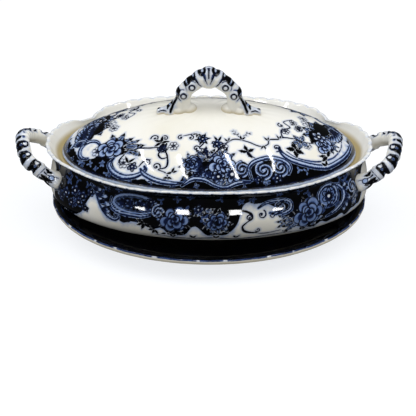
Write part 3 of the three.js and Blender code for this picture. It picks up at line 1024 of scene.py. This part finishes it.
def paint_lid_bay(at, vine, scroll):
    # The white bay with its strands and curls, closed by a scroll below.
    vine([(-131, 0.29), (-124, 0.32), (-120, 0.34), (-114, 0.31), (-110, 0.23), (-109, 0.16), (-112, 0.135)],
         [1.8, 1.4, 1.4, 1.9, 1.0])
    vine([(-117, 0.33), (-116.5, 0.27), (-113.5, 0.235), (-111, 0.25)], [1.2, 1.8, 1.0])
    tendrils(at, [(-119, 0.175, 4, 180, -1), (-113.5, 0.155, 3.6, 0, 1)])
    vine([(-121.5, 0.13), (-121, 0.19), (-118.5, 0.21)], [1.0, 1.8, 1.0])
    vine([(-112, 0.13), (-108, 0.11), (-106.5, 0.075), (-108, 0.06)], [1.0, 1.5, 1.0])
    fans(at, [(-105.5, 0.12, 5.5, 2.8, (20, 70, 200)), (-106.5, 0.08, 4.5, 2.4, (200, 290, 340))], pale=False)
    scroll([(-120, 0.115), (-117, 0.08), (-111, 0.05), (-105, 0.04), (-100, 0.045)],
           [1.0, 3.0, 3.6, 3.2, 1.2])
    # The spray above it.
    tendrils(at, [(-128, 0.43, 4, 200, -1), (-121.5, 0.455, 3, 150, -1)])
    fans(at, [(-121, 0.40, 8, 3.6, (-40, 20, 100, 170, 230)), (-116, 0.36, 5, 2.6, (90, 200, 300))],
         pale=False)
    scatter(at, ringlet, [(-116.5, 0.335, 4.6), (-111.5, 0.38, 4.4)])
    scatter(at, rose, [(-117, 0.33, 3.6)], 0.8)


def paint_lid_middle(at, vine, scroll):
    # A dark flower with a shell of leaves, and the blue flowers beside it.
    fans(at, [(-98, 0.21, 12, 6, range(20, 360, 45)), (-91, 0.25, 15, 6.5, (20, 55, 90, 130, 165)),
              (-83, 0.23, 16, 6.5, (35, 70, 100, 130, 155)), (-82, 0.12, 13, 5.5, (215, 245, 275, 300, 330))])
    shell = at(-92, 0.18, 24)
    lobes(shell, smooth_path([(8, -8), (0, 0), (-4, 9)]), 6, 12, 5.0, 1, 0.9)
    lobes(shell, smooth_path([(-8, -8), (1, -1), (9, 8)]), 5, 11, 5.0, -1, 0.9)
    scatter(at, rose, [(-98, 0.205, 6.5), (-89, 0.12, 6.5)], 1.2)
    scatter(at, rose, [(-83, 0.20, 11)], 0.85)
    scatter(at, daisy, [(-79.5, 0.115, 8), (-85.5, 0.10, 6)], 6, 10, 0.85)
    scroll([(-100, 0.03), (-96, 0.08), (-91, 0.075), (-87, 0.04), (-83, 0.025), (-78, 0.05), (-73, 0.05)],
           [1.0, 3.4, 3.0, 2.2, 2.6, 3.0, 1.0])
    scatter(at, roundel, [(-74.5, 0.155, 7)], 7.2, 0.55)
    fans(at, [(-68, 0.315, 8, 4.4, (20, 95, 160, 300))], teeth=2, pale=False)
    vine([(-68, 0.32), (-66, 0.25), (-64, 0.21)], [1.2, 0.8])
    # The branch that sweeps over to the right, and a spray at each end of it.
    vine([(-89, 0.27), (-85, 0.34), (-80, 0.41), (-71, 0.475), (-63, 0.43), (-58, 0.36), (-52, 0.36),
          (-47, 0.405), (-41, 0.385), (-36, 0.385), (-30, 0.33)], [1.6, 1.6, 1.3, 1.2, 1.8, 1.4])
    fans(at, [(angle, level, 5.2, 2.4, (turn - 28, turn + 28)) for angle, level, turn in
              ((-76, .45, 100), (-66, .46, 60), (-55, .36, 250), (-49, .4, 80), (-40, .385, 60))], pale=False)
    vine([(-110, 0.51), (-105, 0.54), (-99, 0.57), (-94, 0.51), (-93, 0.44), (-95, 0.38), (-91, 0.36),
          (-90, 0.27)], [0.8, 1.3, 1.0, 1.5, 1.2, 1.4])
    tendrils(at, [(-111, 0.49, 2.6, 90, 1), (-97, 0.375, 3, 0, 1), (-103, 0.50, 2.6, 90, -1)])
    scatter(at, ringlet, [(-92, 0.34, 3.6), (-80.5, 0.39, 4.6)])
    fans(at, [(-94, 0.49, 7.5, 3.6, range(10, 360, 60)), (-83, 0.46, 7, 3, (60, 120, 200, 330)),
              (-99, 0.56, 5, 2.4, (200, 260, 320))], pale=False)
    scatter(at, daisy, [(-94, 0.49, 4.4), (-84, 0.43, 4.6)], 5, 10, 0.8)
    scatter(at, sprig, [(-66, 0.50, 9)], 110, 4)
    scatter(at, sprig, [(-62, 0.50, 8)], 20, 3)


def paint_lid_right(at, vine, scroll):
    # Two roundels joined by a band.
    scatter(at, roundel, [(-65, 0.125, 8.5)], 8, 0.5)
    scatter(at, roundel, [(-56.5, 0.13, 8)], 8, 0.5)
    scroll([(-72, 0.06), (-71.5, 0.15), (-68, 0.205), (-62, 0.23), (-57, 0.225), (-52.5, 0.18), (-52, 0.12),
            (-55, 0.07)], [1.2, 3.0, 3.4, 3.4, 1.4])
    scatter(at, daisy, [(-61, 0.055, 4.6), (-69, 0.06, 4)], 5, 30, 0.95)
    # The great C-scroll round the right end, doubled by a finer line inside it.
    scroll([(-48, 0.30), (-49.5, 0.24), (-48.5, 0.18), (-45.5, 0.13), (-42, 0.09), (-38, 0.06),
            (-32, 0.04), (-18, 0.04), (-5, 0.04), (10, 0.02)], [1.4, 4.0, 4.4, 4.4, 3.8, 3.2, 1.4])
    vine([(-46, 0.25), (-45, 0.19), (-42, 0.14), (-37, 0.10), (-32, 0.085), (-25, 0.075), (-14, 0.085),
          (-4, 0.10)], [0.9, 1.8, 1.8, 0.8], layer="mid")
    tendrils(at, [(-49, 0.31, 4.2, 250, 1)])
    # The leafy spray inside it.
    vine([(-36, 0.385), (-33, 0.42), (-27, 0.45), (-17, 0.43), (-10, 0.49), (1, 0.44)], [1.5, 1.5, 1.0])
    scatter(at, ringlet, [(-26, 0.43, 4.2), (-14, 0.38, 4), (-5, 0.43, 3.6)])
    tendrils(at, [(-19, 0.49, 3, 60, 1)])
    fans(at, [(-40, 0.245, 9, 6, (10, 80, 150, 250, 310)), (-30, 0.29, 10, 6.5, (30, 95, 160, 220, 290)),
              (-11, 0.26, 16, 11, range(0, 360, 45)), (2, 0.25, 14, 10, range(10, 360, 60)),
              (-16, 0.16, 12, 5.5, (200, 235, 270, 305, 340))])
    vine([(-30, 0.33), (-28, 0.27), (-22, 0.20)], [1.3, 1.0])
    for angle, level in ((-13, 0.25), (1, 0.24)):
        behind = at(angle, level, 16)
        behind.ink("dark", behind.oval(0, 0, 11, 8))
    scatter(at, rose, [(-20, 0.17, 9.5)], 0.8)
    scatter(at, daisy, [(-13, 0.24, 7)], 5, 20, 0.45)
    fans(at, [(-28, 0.10, 9, 4.5, (30, 150, 190)), (-34, 0.05, 6, 3.4, (60, 130))])


# ---- The stand and the rings ----


def make_stand():
    fine = 480
    turned_up = (STAND_RIM - 1.4, STAND_TOP - 4.6)
    under = resample(bezier((112, STAND_UNDER), (124, STAND_UNDER + 0.5), (134, 11.5), turned_up), 2.0)
    edge = bezier(under[-1], (STAND_RIM + 0.4, STAND_TOP - 2.2), (STAND_RIM - 0.9, STAND_TOP), steps=10)[1:]
    well = ((128, STAND_FLOOR + 0.5), (116, STAND_FLOOR))
    topside = resample(bezier((STAND_RIM - 0.6, STAND_TOP), (134, 18.5), *well), 1.3)[1:]
    middle = [98, 60, 20]
    base = [(radius, STAND_UNDER) for radius in [0] + middle[::-1]]
    floor = [(radius, STAND_FLOOR) for radius in middle + [0]]
    rows = np.vstack([base, under, edge, topside, floor])
    counts = [1, fine // 4, fine // 2, fine] + [fine] * (len(under) + len(edge) + len(topside))
    counts += [fine, fine // 2, fine // 4, 1]
    points, quads, tris, angles = turned(rows, counts, stand_oval, wave_stand)
    piece = make_object("stand_body", points, quads, tris)
    row = np.repeat(np.arange(len(rows)), counts)
    first_top = len(base) + len(under) + 6
    ink = Print(piece, printable=row >= first_top)
    paint_stand(ink, rows[row, 0], angles)
    # Painted shade over the underside of the stand.
    ink.store(0.5 * (row < first_top))
    return piece


def wave_stand(points, angles):
    """A shallow scallop round the edge."""
    outer = np.clip((points[:, 2] - STAND_TOP + 6) / 6, 0, 1)
    wave = 1 - 0.0035 * outer * (0.5 - 0.5 * np.cos(angles * STAND_WAVES))
    return points * np.column_stack([wave, wave, np.ones(len(wave))])


def paint_stand(ink, radius, angles):
    top = ink.part()
    inward = STAND_RIM - 1.3 - radius[top.index]
    top.ink("dark", -inward)
    around = angles[top.index]
    ticks = np.sin(around * 44) + 0.8 * np.sin(around * 71 + 1)
    edge = np.abs(inward + 0.3) - 0.8
    top.ink("mid", np.maximum(edge, (-1.3 - ticks) * 2))
    # Painted highlight: a paler blue line in from the rim, where a raised verge would catch the light.
    verge_highlight = np.abs(inward - 6 - 0.8 * np.sin(around * 18)) - 0.35
    top.print.tone[top.index] = 0
    top.clear(verge_highlight, 0.9)
    top.ink("mid", verge_highlight - 0.3)


def make_ring(name, node, inner, half_depth_of, body):
    """A plain foot ring or flange with softened lower corners."""
    (_, _, low), (outer, _, high) = node_span(node)
    soft, middle = 1.2, (low + high) / 2
    rows = [(inner + soft, low), (outer - soft, low), (outer - 0.35, low + 0.35), (outer, low + soft),
            (outer, middle), (outer, high), (inner, high), (inner, middle), (inner, low + soft),
            (inner + 0.35, low + 0.35)]
    points, quads, tris = closed_ring(np.array(rows), [288] * len(rows), half_depth_of)
    piece = make_object(name, points, quads, tris)
    # Painted shade, darkest at the lower edge of the ring.
    set_field(piece, "painted_shade", np.clip(0.9 - (points[:, 2] - low) / 2, 0.25, 0.9))
    dress(piece, cream_glaze, body, "cream_glaze", node)


# ---- The handles ----


def mirrored(half, mirror):
    half = np.array(half, float)
    return smooth_path(np.vstack([half[::-1], half[1:] * mirror]), 24)


def rod_frames(path, centre):
    """At each point of a path: its direction, the way out from the centre, and the way across."""
    tangent = np.gradient(path, axis=0)
    tangent /= np.linalg.norm(tangent, axis=1)[:, None]
    outward = path - centre
    outward -= np.einsum("ij,ij->i", outward, tangent)[:, None] * tangent
    outward /= np.linalg.norm(outward, axis=1)[:, None]
    return tangent, outward, np.cross(tangent, outward)


def tube_faces(rows, sides):
    """Faces of rows of points round a tube, whose two tips come after them."""
    i, j = np.meshgrid(np.arange(rows - 1), np.arange(sides), indexing="ij")
    k = (j + 1) % sides
    row = i * sides
    quads = np.stack([row + j, row + k, row + sides + k, row + sides + j], -1).reshape(-1, 4)
    j, k = j[0], k[0]
    tips = rows * sides
    start = np.column_stack([k, j, j * 0 + tips])
    end = np.column_stack([tips - sides + j, tips - sides + k, j * 0 + tips + 1])
    return quads, np.vstack([start, end])


def rod(path, centre, radius_at, sides=72):
    """A closed rod along a path. radius_at takes the share along and the angle from outwards."""
    _, outward, across = rod_frames(path, centre)
    share = np.linspace(0, 1, len(path))[:, None]
    angle = np.linspace(0, TAU, sides, endpoint=False)[None, :]
    radius = radius_at(share, angle)[:, :, None]
    ring = outward[:, None, :] * np.cos(angle)[:, :, None] + across[:, None, :] * np.sin(angle)[:, :, None]
    body = (path[:, None, :] + ring * radius).reshape(-1, 3)
    return np.vstack([body, path[:1], path[-1:]]), *tube_faces(len(path), sides)


def ball(centre, radii, steps=24):
    """A closed rounded lump."""
    lat = np.linspace(0, math.pi, steps + 1)[1:-1, None]
    lon = np.linspace(0, TAU, 2 * steps, endpoint=False)[None, :]
    unit = np.stack([np.sin(lat) * np.cos(lon), np.sin(lat) * np.sin(lon), np.cos(lat) + 0 * lon], -1)
    points = np.vstack([unit.reshape(-1, 3), [[0, 0, 1], [0, 0, -1]]]) * radii + centre
    quads, tris = tube_faces(steps - 1, 2 * steps)
    return points, quads[:, [0, 3, 2, 1]], tris[:, [1, 0, 2]]


def fuse(name, shells, voxel, rounds):
    """Joins closed shells into one skin and eases its steps."""
    points, quads, tris = zip(*shells)
    starts = np.cumsum([0] + [len(part) for part in points])
    quads, tris = ([part + start for part, start in zip(kind, starts)] for kind in (quads, tris))
    piece = make_object(name, np.vstack(points), np.vstack(quads), np.vstack(tris))
    remesh = piece.modifiers.new("skin", "REMESH")
    remesh.mode = "VOXEL"
    remesh.voxel_size = voxel * MM
    smooth = piece.modifiers.new("ease", "SMOOTH")
    smooth.factor = 0.5
    smooth.iterations = rounds
    ready = piece.evaluated_get(bpy.context.evaluated_depsgraph_get())
    mesh = bpy.data.meshes.new_from_object(ready)
    piece.modifiers.clear()
    piece.data = mesh
    mesh.polygons.foreach_set("use_smooth", np.ones(len(mesh.polygons), bool))
    return piece


def seat_on(piece, host):
    """Presses the points that reach through the host's skin back to just under it."""
    host_points, points = mesh_points(host), mesh_points(piece)
    low, high = points.min(axis=0) - 6, points.max(axis=0) + 6
    near = np.flatnonzero(np.all((host_points > low) & (host_points < high), axis=1))
    skin = near[nearest(points, host_points[near])]
    out = mesh_normals(host)[skin]
    depth = np.einsum("ij,ij->i", points - host_points[skin], out)
    place_points(piece.data, points - out * np.minimum(depth + SINK, 0)[:, None])


def keep_in_box(piece, node):
    low, high = node_span(node)
    place_points(piece.data, np.clip(mesh_points(piece), low, high))


def beads(share, angle, count, height):
    """Ribs across the outer side of a rod."""
    outer = (0.5 + 0.5 * np.cos(angle)) ** 0.8
    return height * outer * (np.abs(np.cos(np.pi * count * (share - 0.5))) ** 0.6 * 2 - 1.15)


# Half of each handle's line, from its apex down, and the centre that its outer side faces away from.
LOOP_HALF = [(170.4, 0, 79.4), (165, 21.8, 70.2), (155.5, 27.5, 64.2), (147, 31, 57.5), (134, 33, 52)]
LOOP_CENTRE = (152.0, 0, 63.0)
# The loop's length and girth radius that its bosses are spaced by, and its ribs and painted panels.
LOOP_LENGTH = 131
LOOP_R = 6.4
FAN_RIBS = 23
PANELS = 11
BOSS_PLACES = (0.29, 0.5)
BOSS_TURN = 1.25
ARCH_HALF = [(0, 0, 144), (14, 0, 136.6), (22.8, 0, 125.5), (22.4, 0, 106)]
ARCH_CENTRE = (0, 0, 121.0)
# The girth radius that painting is laid out by, and how deep a handle's skin goes into its host's.
ROD_R = 6.5
SINK = 0.7
ARCH_STUDS = ((15.0, 136.2), (22.6, 127.6))
ARCH_FOOT = [(23.0, 0, 121), (30, 0, 114), (37.5, 0, 109), (46, 0, 107.5)]
ARCH_LUMPS = (((46.0, 0, 106.6), (4.0, 4.6, 3.6)), ((17.5, 0, 110.0), (7.0, 8.0, 6.2)),
              ((26.5, 0, 110.0), (7.2, 8.6, 6.6)), ((34.0, -4.6, 107.6), (6.4, 3.6, 3.4)),
              ((34.0, 4.6, 107.6), (6.4, 3.6, 3.4)))


def loop_radius(share, angle):
    from_middle = np.abs(2 * share - 1)
    fan = hump(from_middle, 0, 0.26)
    ribs = beads(share, angle, 9, 1.1) * (1 - fan) + beads(share, angle, FAN_RIBS, 0.9) * fan
    terminal = 1.7 * np.clip((from_middle - 0.66) / 0.3, 0, 1) ** 2
    leafy = 1.0 * np.clip((from_middle - 0.66) / 0.15, 0, 1) * np.cos(angle * 3)
    collar = 0.7 * hump(from_middle, 0.63, 0.02)
    boss = boss_bumps(share, angle)
    return np.minimum(6.1 + ribs + collar + boss, 7.25) + terminal + leafy


def boss_bumps(share, angle):
    """Round studs with a groove about them, on both faces of a loop handle."""
    total = 0
    from_middle = np.abs(2 * share - 1)
    around = (np.abs((angle + math.pi) % TAU - math.pi) - BOSS_TURN) * LOOP_R
    for place in BOSS_PLACES:
        along = (from_middle - place) * LOOP_LENGTH / 2
        gap = np.hypot(along, around)
        total = total + 1.1 * hump(gap, 0, 2.6) - 0.5 * hump(gap, 3.6, 0.8)
    return total


def make_side_handle(side, node):
    mirror = np.array([side, 1, 1.0])
    centre = np.array(LOOP_CENTRE) * mirror
    path, length = even_path(mirrored(np.array(LOOP_HALF) * mirror, (1, -1, 1)), 300)
    piece = fuse(node + "_loop", [rod(path, centre, loop_radius)], 0.55, 2)
    seat_on(piece, bowl)
    keep_in_box(piece, node)
    ink = Print(piece)
    along, around, depth = rod_places(ink.points, path, length, centre)
    paint_loop(ink.flat(along, around), length / 2)
    # Painted shade in the creases between the ribs and on the inner side of the loop, which faces the bowl.
    ink.store(np.clip((6.1 - depth) / 1.5, 0, 1) * 0.5 + 0.5 * np.clip((np.abs(around) - 15) / 6, 0, 1))
    dress(piece, print_glaze, "bowl", "handle_glaze", node)


def rod_places(points, path, length, centre):
    """For each point: millimetres along from the rod's middle, round from its outer line, and out."""
    _, outward, across = rod_frames(path, centre)
    close = nearest(points, path)
    offset = points - path[close]
    out, side = np.einsum("ij,ij->i", offset, outward[close]), np.einsum("ij,ij->i", offset, across[close])
    along = np.abs(close / (len(path) - 1) - 0.5) * length
    return along, np.abs(np.arctan2(side, out)) * ROD_R, np.hypot(out, side)


def paint_loop(patch, half):
    """x is millimetres from the apex, y millimetres round from the outermost line."""
    pitch = half * 2 / PANELS
    patch.wash(patch.oval(half * 0.2, 0, half * 0.7, 6), 0.12, 6)
    for i in range(1, 4):
        middle = pitch * (i + 0.1)
        panel = np.maximum(patch.oval(middle, 0, pitch * 0.47, 11), np.abs(patch.x - middle) - pitch * 0.37)
        patch.ink("dark", panel)
        patch.clear(patch.oval(middle, 7.2, 1.9, 1.9), 0.05)
        patch.clear(patch.oval(middle + 0.6, 3.2, 1.3, 1.5), 0.9)
        patch.ink("mid", patch.oval(middle - 1.5, 9.8, 1.6, 1.2))
        patch.ink("line", patch.stroke([(middle - 2, 9.8), (middle + 1.5, 12)], [1.2, 0.5]))
    for i in range(5):
        groove = (i - 0.5) * half * 2 / FAN_RIBS
        patch.ink("line", np.maximum(np.abs(patch.x - groove - 0.18 * patch.y) - 0.5, patch.y - 8))
        patch.ink("dark", patch.oval(groove + 2.4, 1.8, 1.7, 3.2))
        patch.ink("mid", patch.oval(groove + 2.6, 6.8, 1.1, 1.4))
    collar = np.abs(patch.x - half * 0.66) - 1.3
    patch.wash(patch.oval(half * 0.8, 3, half * 0.16, 6), 0.16, 9)
    patch.clear(collar, 0.1)
    patch.ink("line", np.abs(patch.x - half * 0.69) - 0.35)
    for y, reach in ((1.5, 13), (9.0, 10)):
        leaf(patch, (half * 0.70, y), 0, reach, 4.6, 3, False)
    patch.ink("line", patch.stroke([(half * 0.72, 5), (half * 0.95, 6.5)], [1.6, 0.6]))
    tip = patch.oval(half * 0.86, 4.5, 2.6, 2.0)
    patch.clear(tip, 0.4)
    patch.outline(tip, 0.9)


def arch_radius(share, angle):
    from_middle = np.abs(2 * share - 1)
    fan = hump(from_middle, 0, 0.34)
    crest = 1.6 * (1 - from_middle) ** 3
    outer = (0.5 + 0.5 * np.cos(angle)) ** 0.5
    flutes = 1.5 * fan * outer * (np.abs(np.cos(np.pi * 12 * (share - 0.5))) ** 0.7 - 0.35)
    return np.minimum(6.7 + crest + 0.9 * from_middle**6 + flutes, 9.65)


def foot_radius(share, angle):
    return 6.6 - 2.6 * share + 0 * angle


def lid_handle_shells(path):
    """The arch, the lump under its apex, and on each side the leaf foot, bulbs, studs and beads."""
    shells = [rod(path, np.array(ARCH_CENTRE), arch_radius), ball((0, 0, 139.6), (9.5, 7.2, 7.4))]
    for side in (-1, 1):
        mirror = np.array([side, 1, 1.0])
        foot, _ = even_path(smooth_path(np.array(ARCH_FOOT) * mirror, 10), 60)
        shells.append(rod(foot, np.array([20.0, 0, 90.0]) * mirror, foot_radius, 40))
        for centre, radii in ARCH_LUMPS:
            shells.append(ball(np.array(centre) * mirror, radii))
        for x, z in ARCH_STUDS:
            shells.append(ball((side * x, 0, z), (7.3, 8.8, 7.2)))
            for across in (-8.2, 8.2):
                shells.append(ball((side * x, across, z), (1.7, 1.6, 1.7), 12))
    return shells


def make_lid_handle():
    path, length = even_path(mirrored(ARCH_HALF, (-1, 1, 1)), 240)
    piece = fuse("lid_handle_arch", lid_handle_shells(path), 0.5, 3)
    seat_on(piece, lid)
    keep_in_box(piece, "lid_handle")
    ink = Print(piece)
    along, around, depth = rod_places(ink.points, path, length, np.array(ARCH_CENTRE))
    from_middle = np.abs(ink.points[:, 0])
    above_lid = ink.points[:, 2] - lid_height(from_middle)
    paint_arch(ink.flat(along + 99 * (from_middle > 29), around), length / 2, ink.points)
    paint_feet(ink.flat(from_middle, above_lid))
    # Painted shade in the creases of the arch, and low down where the handle meets the lid.
    crease_shade = np.clip((7.0 - depth) / 2, 0, 1) * 0.35
    low = np.clip((5 - above_lid) / 5, 0, 1) * 0.7
    ink.store(np.maximum(crease_shade, low))
    dress(piece, print_glaze, "lid", "handle_glaze", "lid_handle")


def paint_arch(patch, half, place):
    """x is millimetres from the apex, y millimetres round from the outermost line."""
    patch.wash(patch.oval(half * 0.2, 0, half * 0.6, 6), 0.1, 7)
    for groove in (4.2, 11.5):
        lean = 0.13 * patch.y
        patch.ink("line", np.maximum(np.abs(patch.x - groove + lean) - 0.6, patch.y - 14))
        patch.ink("dark", patch.oval(groove - 0.2, 2.2, 2.7, 4.4))
        patch.clear(patch.oval(groove - 0.6, 1.6, 0.7, 1.6), 0.2)
        patch.ink("mid", patch.oval(groove - 1.6, 7.4, 0.8, 2.6))
    patch.ink("line", np.maximum(np.abs(patch.x - 0.2) - 0.4, np.abs(patch.y - 5) - 4))
    for stud in ARCH_STUDS:
        offset = np.abs(place[:, [0, 2]]) - stud
        gap = np.hypot(offset[:, 0], offset[:, 1])
        outward = np.array(stud) - (ARCH_CENTRE[0], ARCH_CENTRE[2])
        outward /= np.hypot(*outward)
        lift = offset @ outward
        sideways = offset @ np.array([outward[1], -outward[0]])
        crescent = np.maximum(4.0 - lift, gap - 9)
        patch.ink("dark", np.maximum(crescent, np.abs(sideways) - 4.4))
        patch.clear(np.maximum(crescent + 1.0, np.abs(sideways - 0.8) - 0.6), 0.2)
        patch.ink("mid", np.maximum(np.abs(gap - 5.6) - 0.45, 1.0 - lift))
        patch.clear(np.abs(gap - 1.4) - 2.4, 0.05)
        patch.ink("line", np.abs(gap - 2.5) - 0.8)


def paint_feet(patch):
    """x is millimetres from the middle of the lid, y millimetres above the lid's skin."""
    patch.wash(patch.oval(38, 6, 10, 4), 0.12, 4)
    patch.ink("dark", patch.stroke([(26.5, 19), (29.5, 12), (32.5, 7.5), (34.5, 2.0)], [1.4, 1.8, 2.4, 2.6]))
    patch.ink("dark", patch.stroke([(34.0, 10.0), (36.5, 7.0), (37.5, 4.5)], [3.0, 3.2, 1.4]))
    patch.ink("dark", patch.stroke([(40.5, 6.8), (45.0, 6.0), (50.0, 5.2)], [2.2, 3.4, 4.0]))
    patch.ink("line", patch.stroke([(38.5, 2.2), (42.0, 3.2), (46.0, 2.4)], [0.9, 1.1, 0.5]))
    patch.clear(patch.oval(35.6, 7.6, 0.9, 1.0), 0.5)


# ---- The pieces ----

bowl = make_bowl()
dress(bowl, print_glaze, "bowl", "floral_print_glaze", "bowl_shell")
lid = make_lid()
dress(lid, print_glaze, "lid", "floral_print_glaze", "lid_dome")
dress(make_stand(), print_glaze, "stand", "cobalt_print_glaze", "underplate")

make_side_handle(-1, "handle_left")
make_side_handle(1, "handle_right")
make_lid_handle()

make_ring("stand_foot", "underplate_foot_ring", 96, stand_oval, "stand")
make_ring("bowl_foot", "bowl_foot_ring", 103, bowl_oval, "bowl")
make_ring("lid_flange", "lid_locating_flange", LID_INNER, lid_oval, "lid")


# ---- Floor, light and camera ----


def direction(azimuth, elevation):
    """The way from the object towards a viewer at an azimuth round from -Y and an elevation."""
    a, e = math.radians(azimuth), math.radians(elevation)
    return Vector((math.sin(a) * math.cos(e), -math.cos(a) * math.cos(e), math.sin(e)))


def area_light(name, azimuth, elevation, distance, width, height, radiance, target):
    light = bpy.data.lights.new(name, "AREA")
    light.shape = "RECTANGLE"
    light.size = width
    light.size_y = height
    light.energy = radiance * width * height * math.pi
    lamp = bpy.data.objects.new(name, light)
    bpy.context.scene.collection.objects.link(lamp)
    offset = direction(azimuth, elevation) * distance
    lamp.location = target + offset
    lamp.rotation_euler = (-offset).to_track_quat("-Z", "Y").to_euler()
    return lamp


def glow(nodes, kind, strength):
    """A plain glow of a given strength."""
    return nodes.add(kind, (0.95, 0.97, 1.0, 1), strength)


def choose(nodes, ray, otherwise, chosen):
    """Mixes two shaders by the kind of ray that asks."""
    return nodes.add("ShaderNodeMixShader", nodes.add("ShaderNodeLightPath", out=ray), otherwise, chosen)


# Radiances: the room's walls and ceiling, the room as mirrored in the glaze, and the lamps.
ROOM_LOW = 0.31
ROOM_HIGH = 0.68
ROOM_IN_GLAZE = 0.05
FLOOR_GLOW = 1.08
CEILING = 1.0
SIDE_BOX = 1.6
TUBE = 30.0
SPARK = 26.0

# Metres from the target to the tubes and sparks, and each tube's place across and forward, length and turn.
LAMP_DISTANCE = 1.4
TUBES = ((-0.64, -0.2, 0.78, 0), (-0.28, -0.58, 1.0, 0), (0.245, -0.58, 1.03, 13), (0.62, -0.2, 0.81, 16))


def make_floor():
    bpy.ops.mesh.primitive_plane_add(size=12)
    floor = bpy.context.object
    floor.name = "floor"
    paper = bpy.data.materials.new("floor_paper")
    nodes = Nodes(paper)
    shader = nodes.tree.nodes["Principled BSDF"]
    grain = nodes.between(nodes.noise(40.0), 0.3, 0.7)
    nodes.put(shader.inputs["Base Color"], nodes.blend(grain, shade(246, 246, 246), shade(249, 249, 249)))
    shader.inputs["Roughness"].default_value = 0.9
    shader.inputs["Specular IOR Level"].default_value = 0.0
    shine = glow(nodes, "ShaderNodeEmission", FLOOR_GLOW)
    seen = nodes.add("ShaderNodeMixShader", 0.75, shader.outputs[0], shine)
    dull = nodes.add("ShaderNodeBsdfDiffuse", (0.3, 0.3, 0.3, 1))
    result = choose(nodes, "Is Camera Ray", dull, seen)
    result = choose(nodes, "Is Glossy Ray", result, glow(nodes, "ShaderNodeEmission", ROOM_IN_GLAZE))
    nodes.put(nodes.tree.nodes["Material Output"].inputs[0], result)
    floor.data.materials.append(paper)


def make_room():
    world = bpy.data.worlds.new("soft_room")
    nodes = Nodes(world)
    height = nodes.add("ShaderNodeSeparateXYZ", nodes.add("ShaderNodeTexCoord"), out="Z")
    strength = nodes.add("ShaderNodeMapRange", height, 0.0, 0.8, ROOM_LOW, ROOM_HIGH)
    room = nodes.add("ShaderNodeBackground", (1, 1, 1, 1), strength)
    result = choose(nodes, "Is Glossy Ray", room, glow(nodes, "ShaderNodeBackground", ROOM_IN_GLAZE))
    nodes.put(nodes.tree.nodes["World Output"].inputs[0], result)
    bpy.context.scene.world = world


def make_lamps(target):
    """A ceiling and two side boxes for the light, and tubes and sparks that only streak the glaze."""
    area_light("ceiling", 0, 85, 2.0, 2.4, 2.4, CEILING, target).visible_glossy = False
    for index, azimuth in enumerate((-80, 80)):
        side_box = area_light(f"side_box_{index}", azimuth, 35, 1.6, 1.2, 1.2, SIDE_BOX, target)
        side_box.visible_glossy = False
    for index, (across, forward, length, turn) in enumerate(TUBES):
        below = Vector((across, forward, target.z))
        tube = area_light(f"tube_{index}", 0, 90, LAMP_DISTANCE, 0.028, length, TUBE, below)
        tube.rotation_euler.z += math.radians(turn)
        tube.visible_diffuse = False
    for index, azimuth in enumerate((-33, -12, 12, 33)):
        elevation = 18 - abs(azimuth) / 12
        spark = area_light(f"spark_{index}", azimuth, elevation, LAMP_DISTANCE, 0.13, 0.08, SPARK, target)
        spark.visible_diffuse = False


# The camera, in metres and degrees. VIEW_WIDTH is what the picture spans at the target, which
# stands VIEW_LIFT above and VIEW_SHIFT to the right of the picture's middle.
AZIMUTH = 1.0
ELEVATION = 28.5
DISTANCE = 1.649
VIEW_WIDTH = 0.381056
VIEW_LIFT = 0.0606392
VIEW_SHIFT = 0.000916


def make_camera(target):
    data = bpy.data.cameras.new("camera")
    data.sensor_width = 36.0
    data.lens = data.sensor_width * DISTANCE / VIEW_WIDTH
    camera = bpy.data.objects.new("camera", data)
    bpy.context.scene.collection.objects.link(camera)
    bpy.context.scene.camera = camera
    camera.location = target + direction(AZIMUTH, ELEVATION) * DISTANCE
    tilt = math.atan(VIEW_LIFT / DISTANCE)
    turn = math.atan(VIEW_SHIFT / DISTANCE)
    camera.rotation_euler = (math.radians(90 - ELEVATION) - tilt, 0, math.radians(AZIMUTH) + turn)


rim_centre = Vector((0, 0, RIM_Z * MM))
make_floor()
make_room()
make_lamps(rim_centre)
make_camera(rim_centre)
bpy.context.scene.view_settings.view_transform = "Standard"
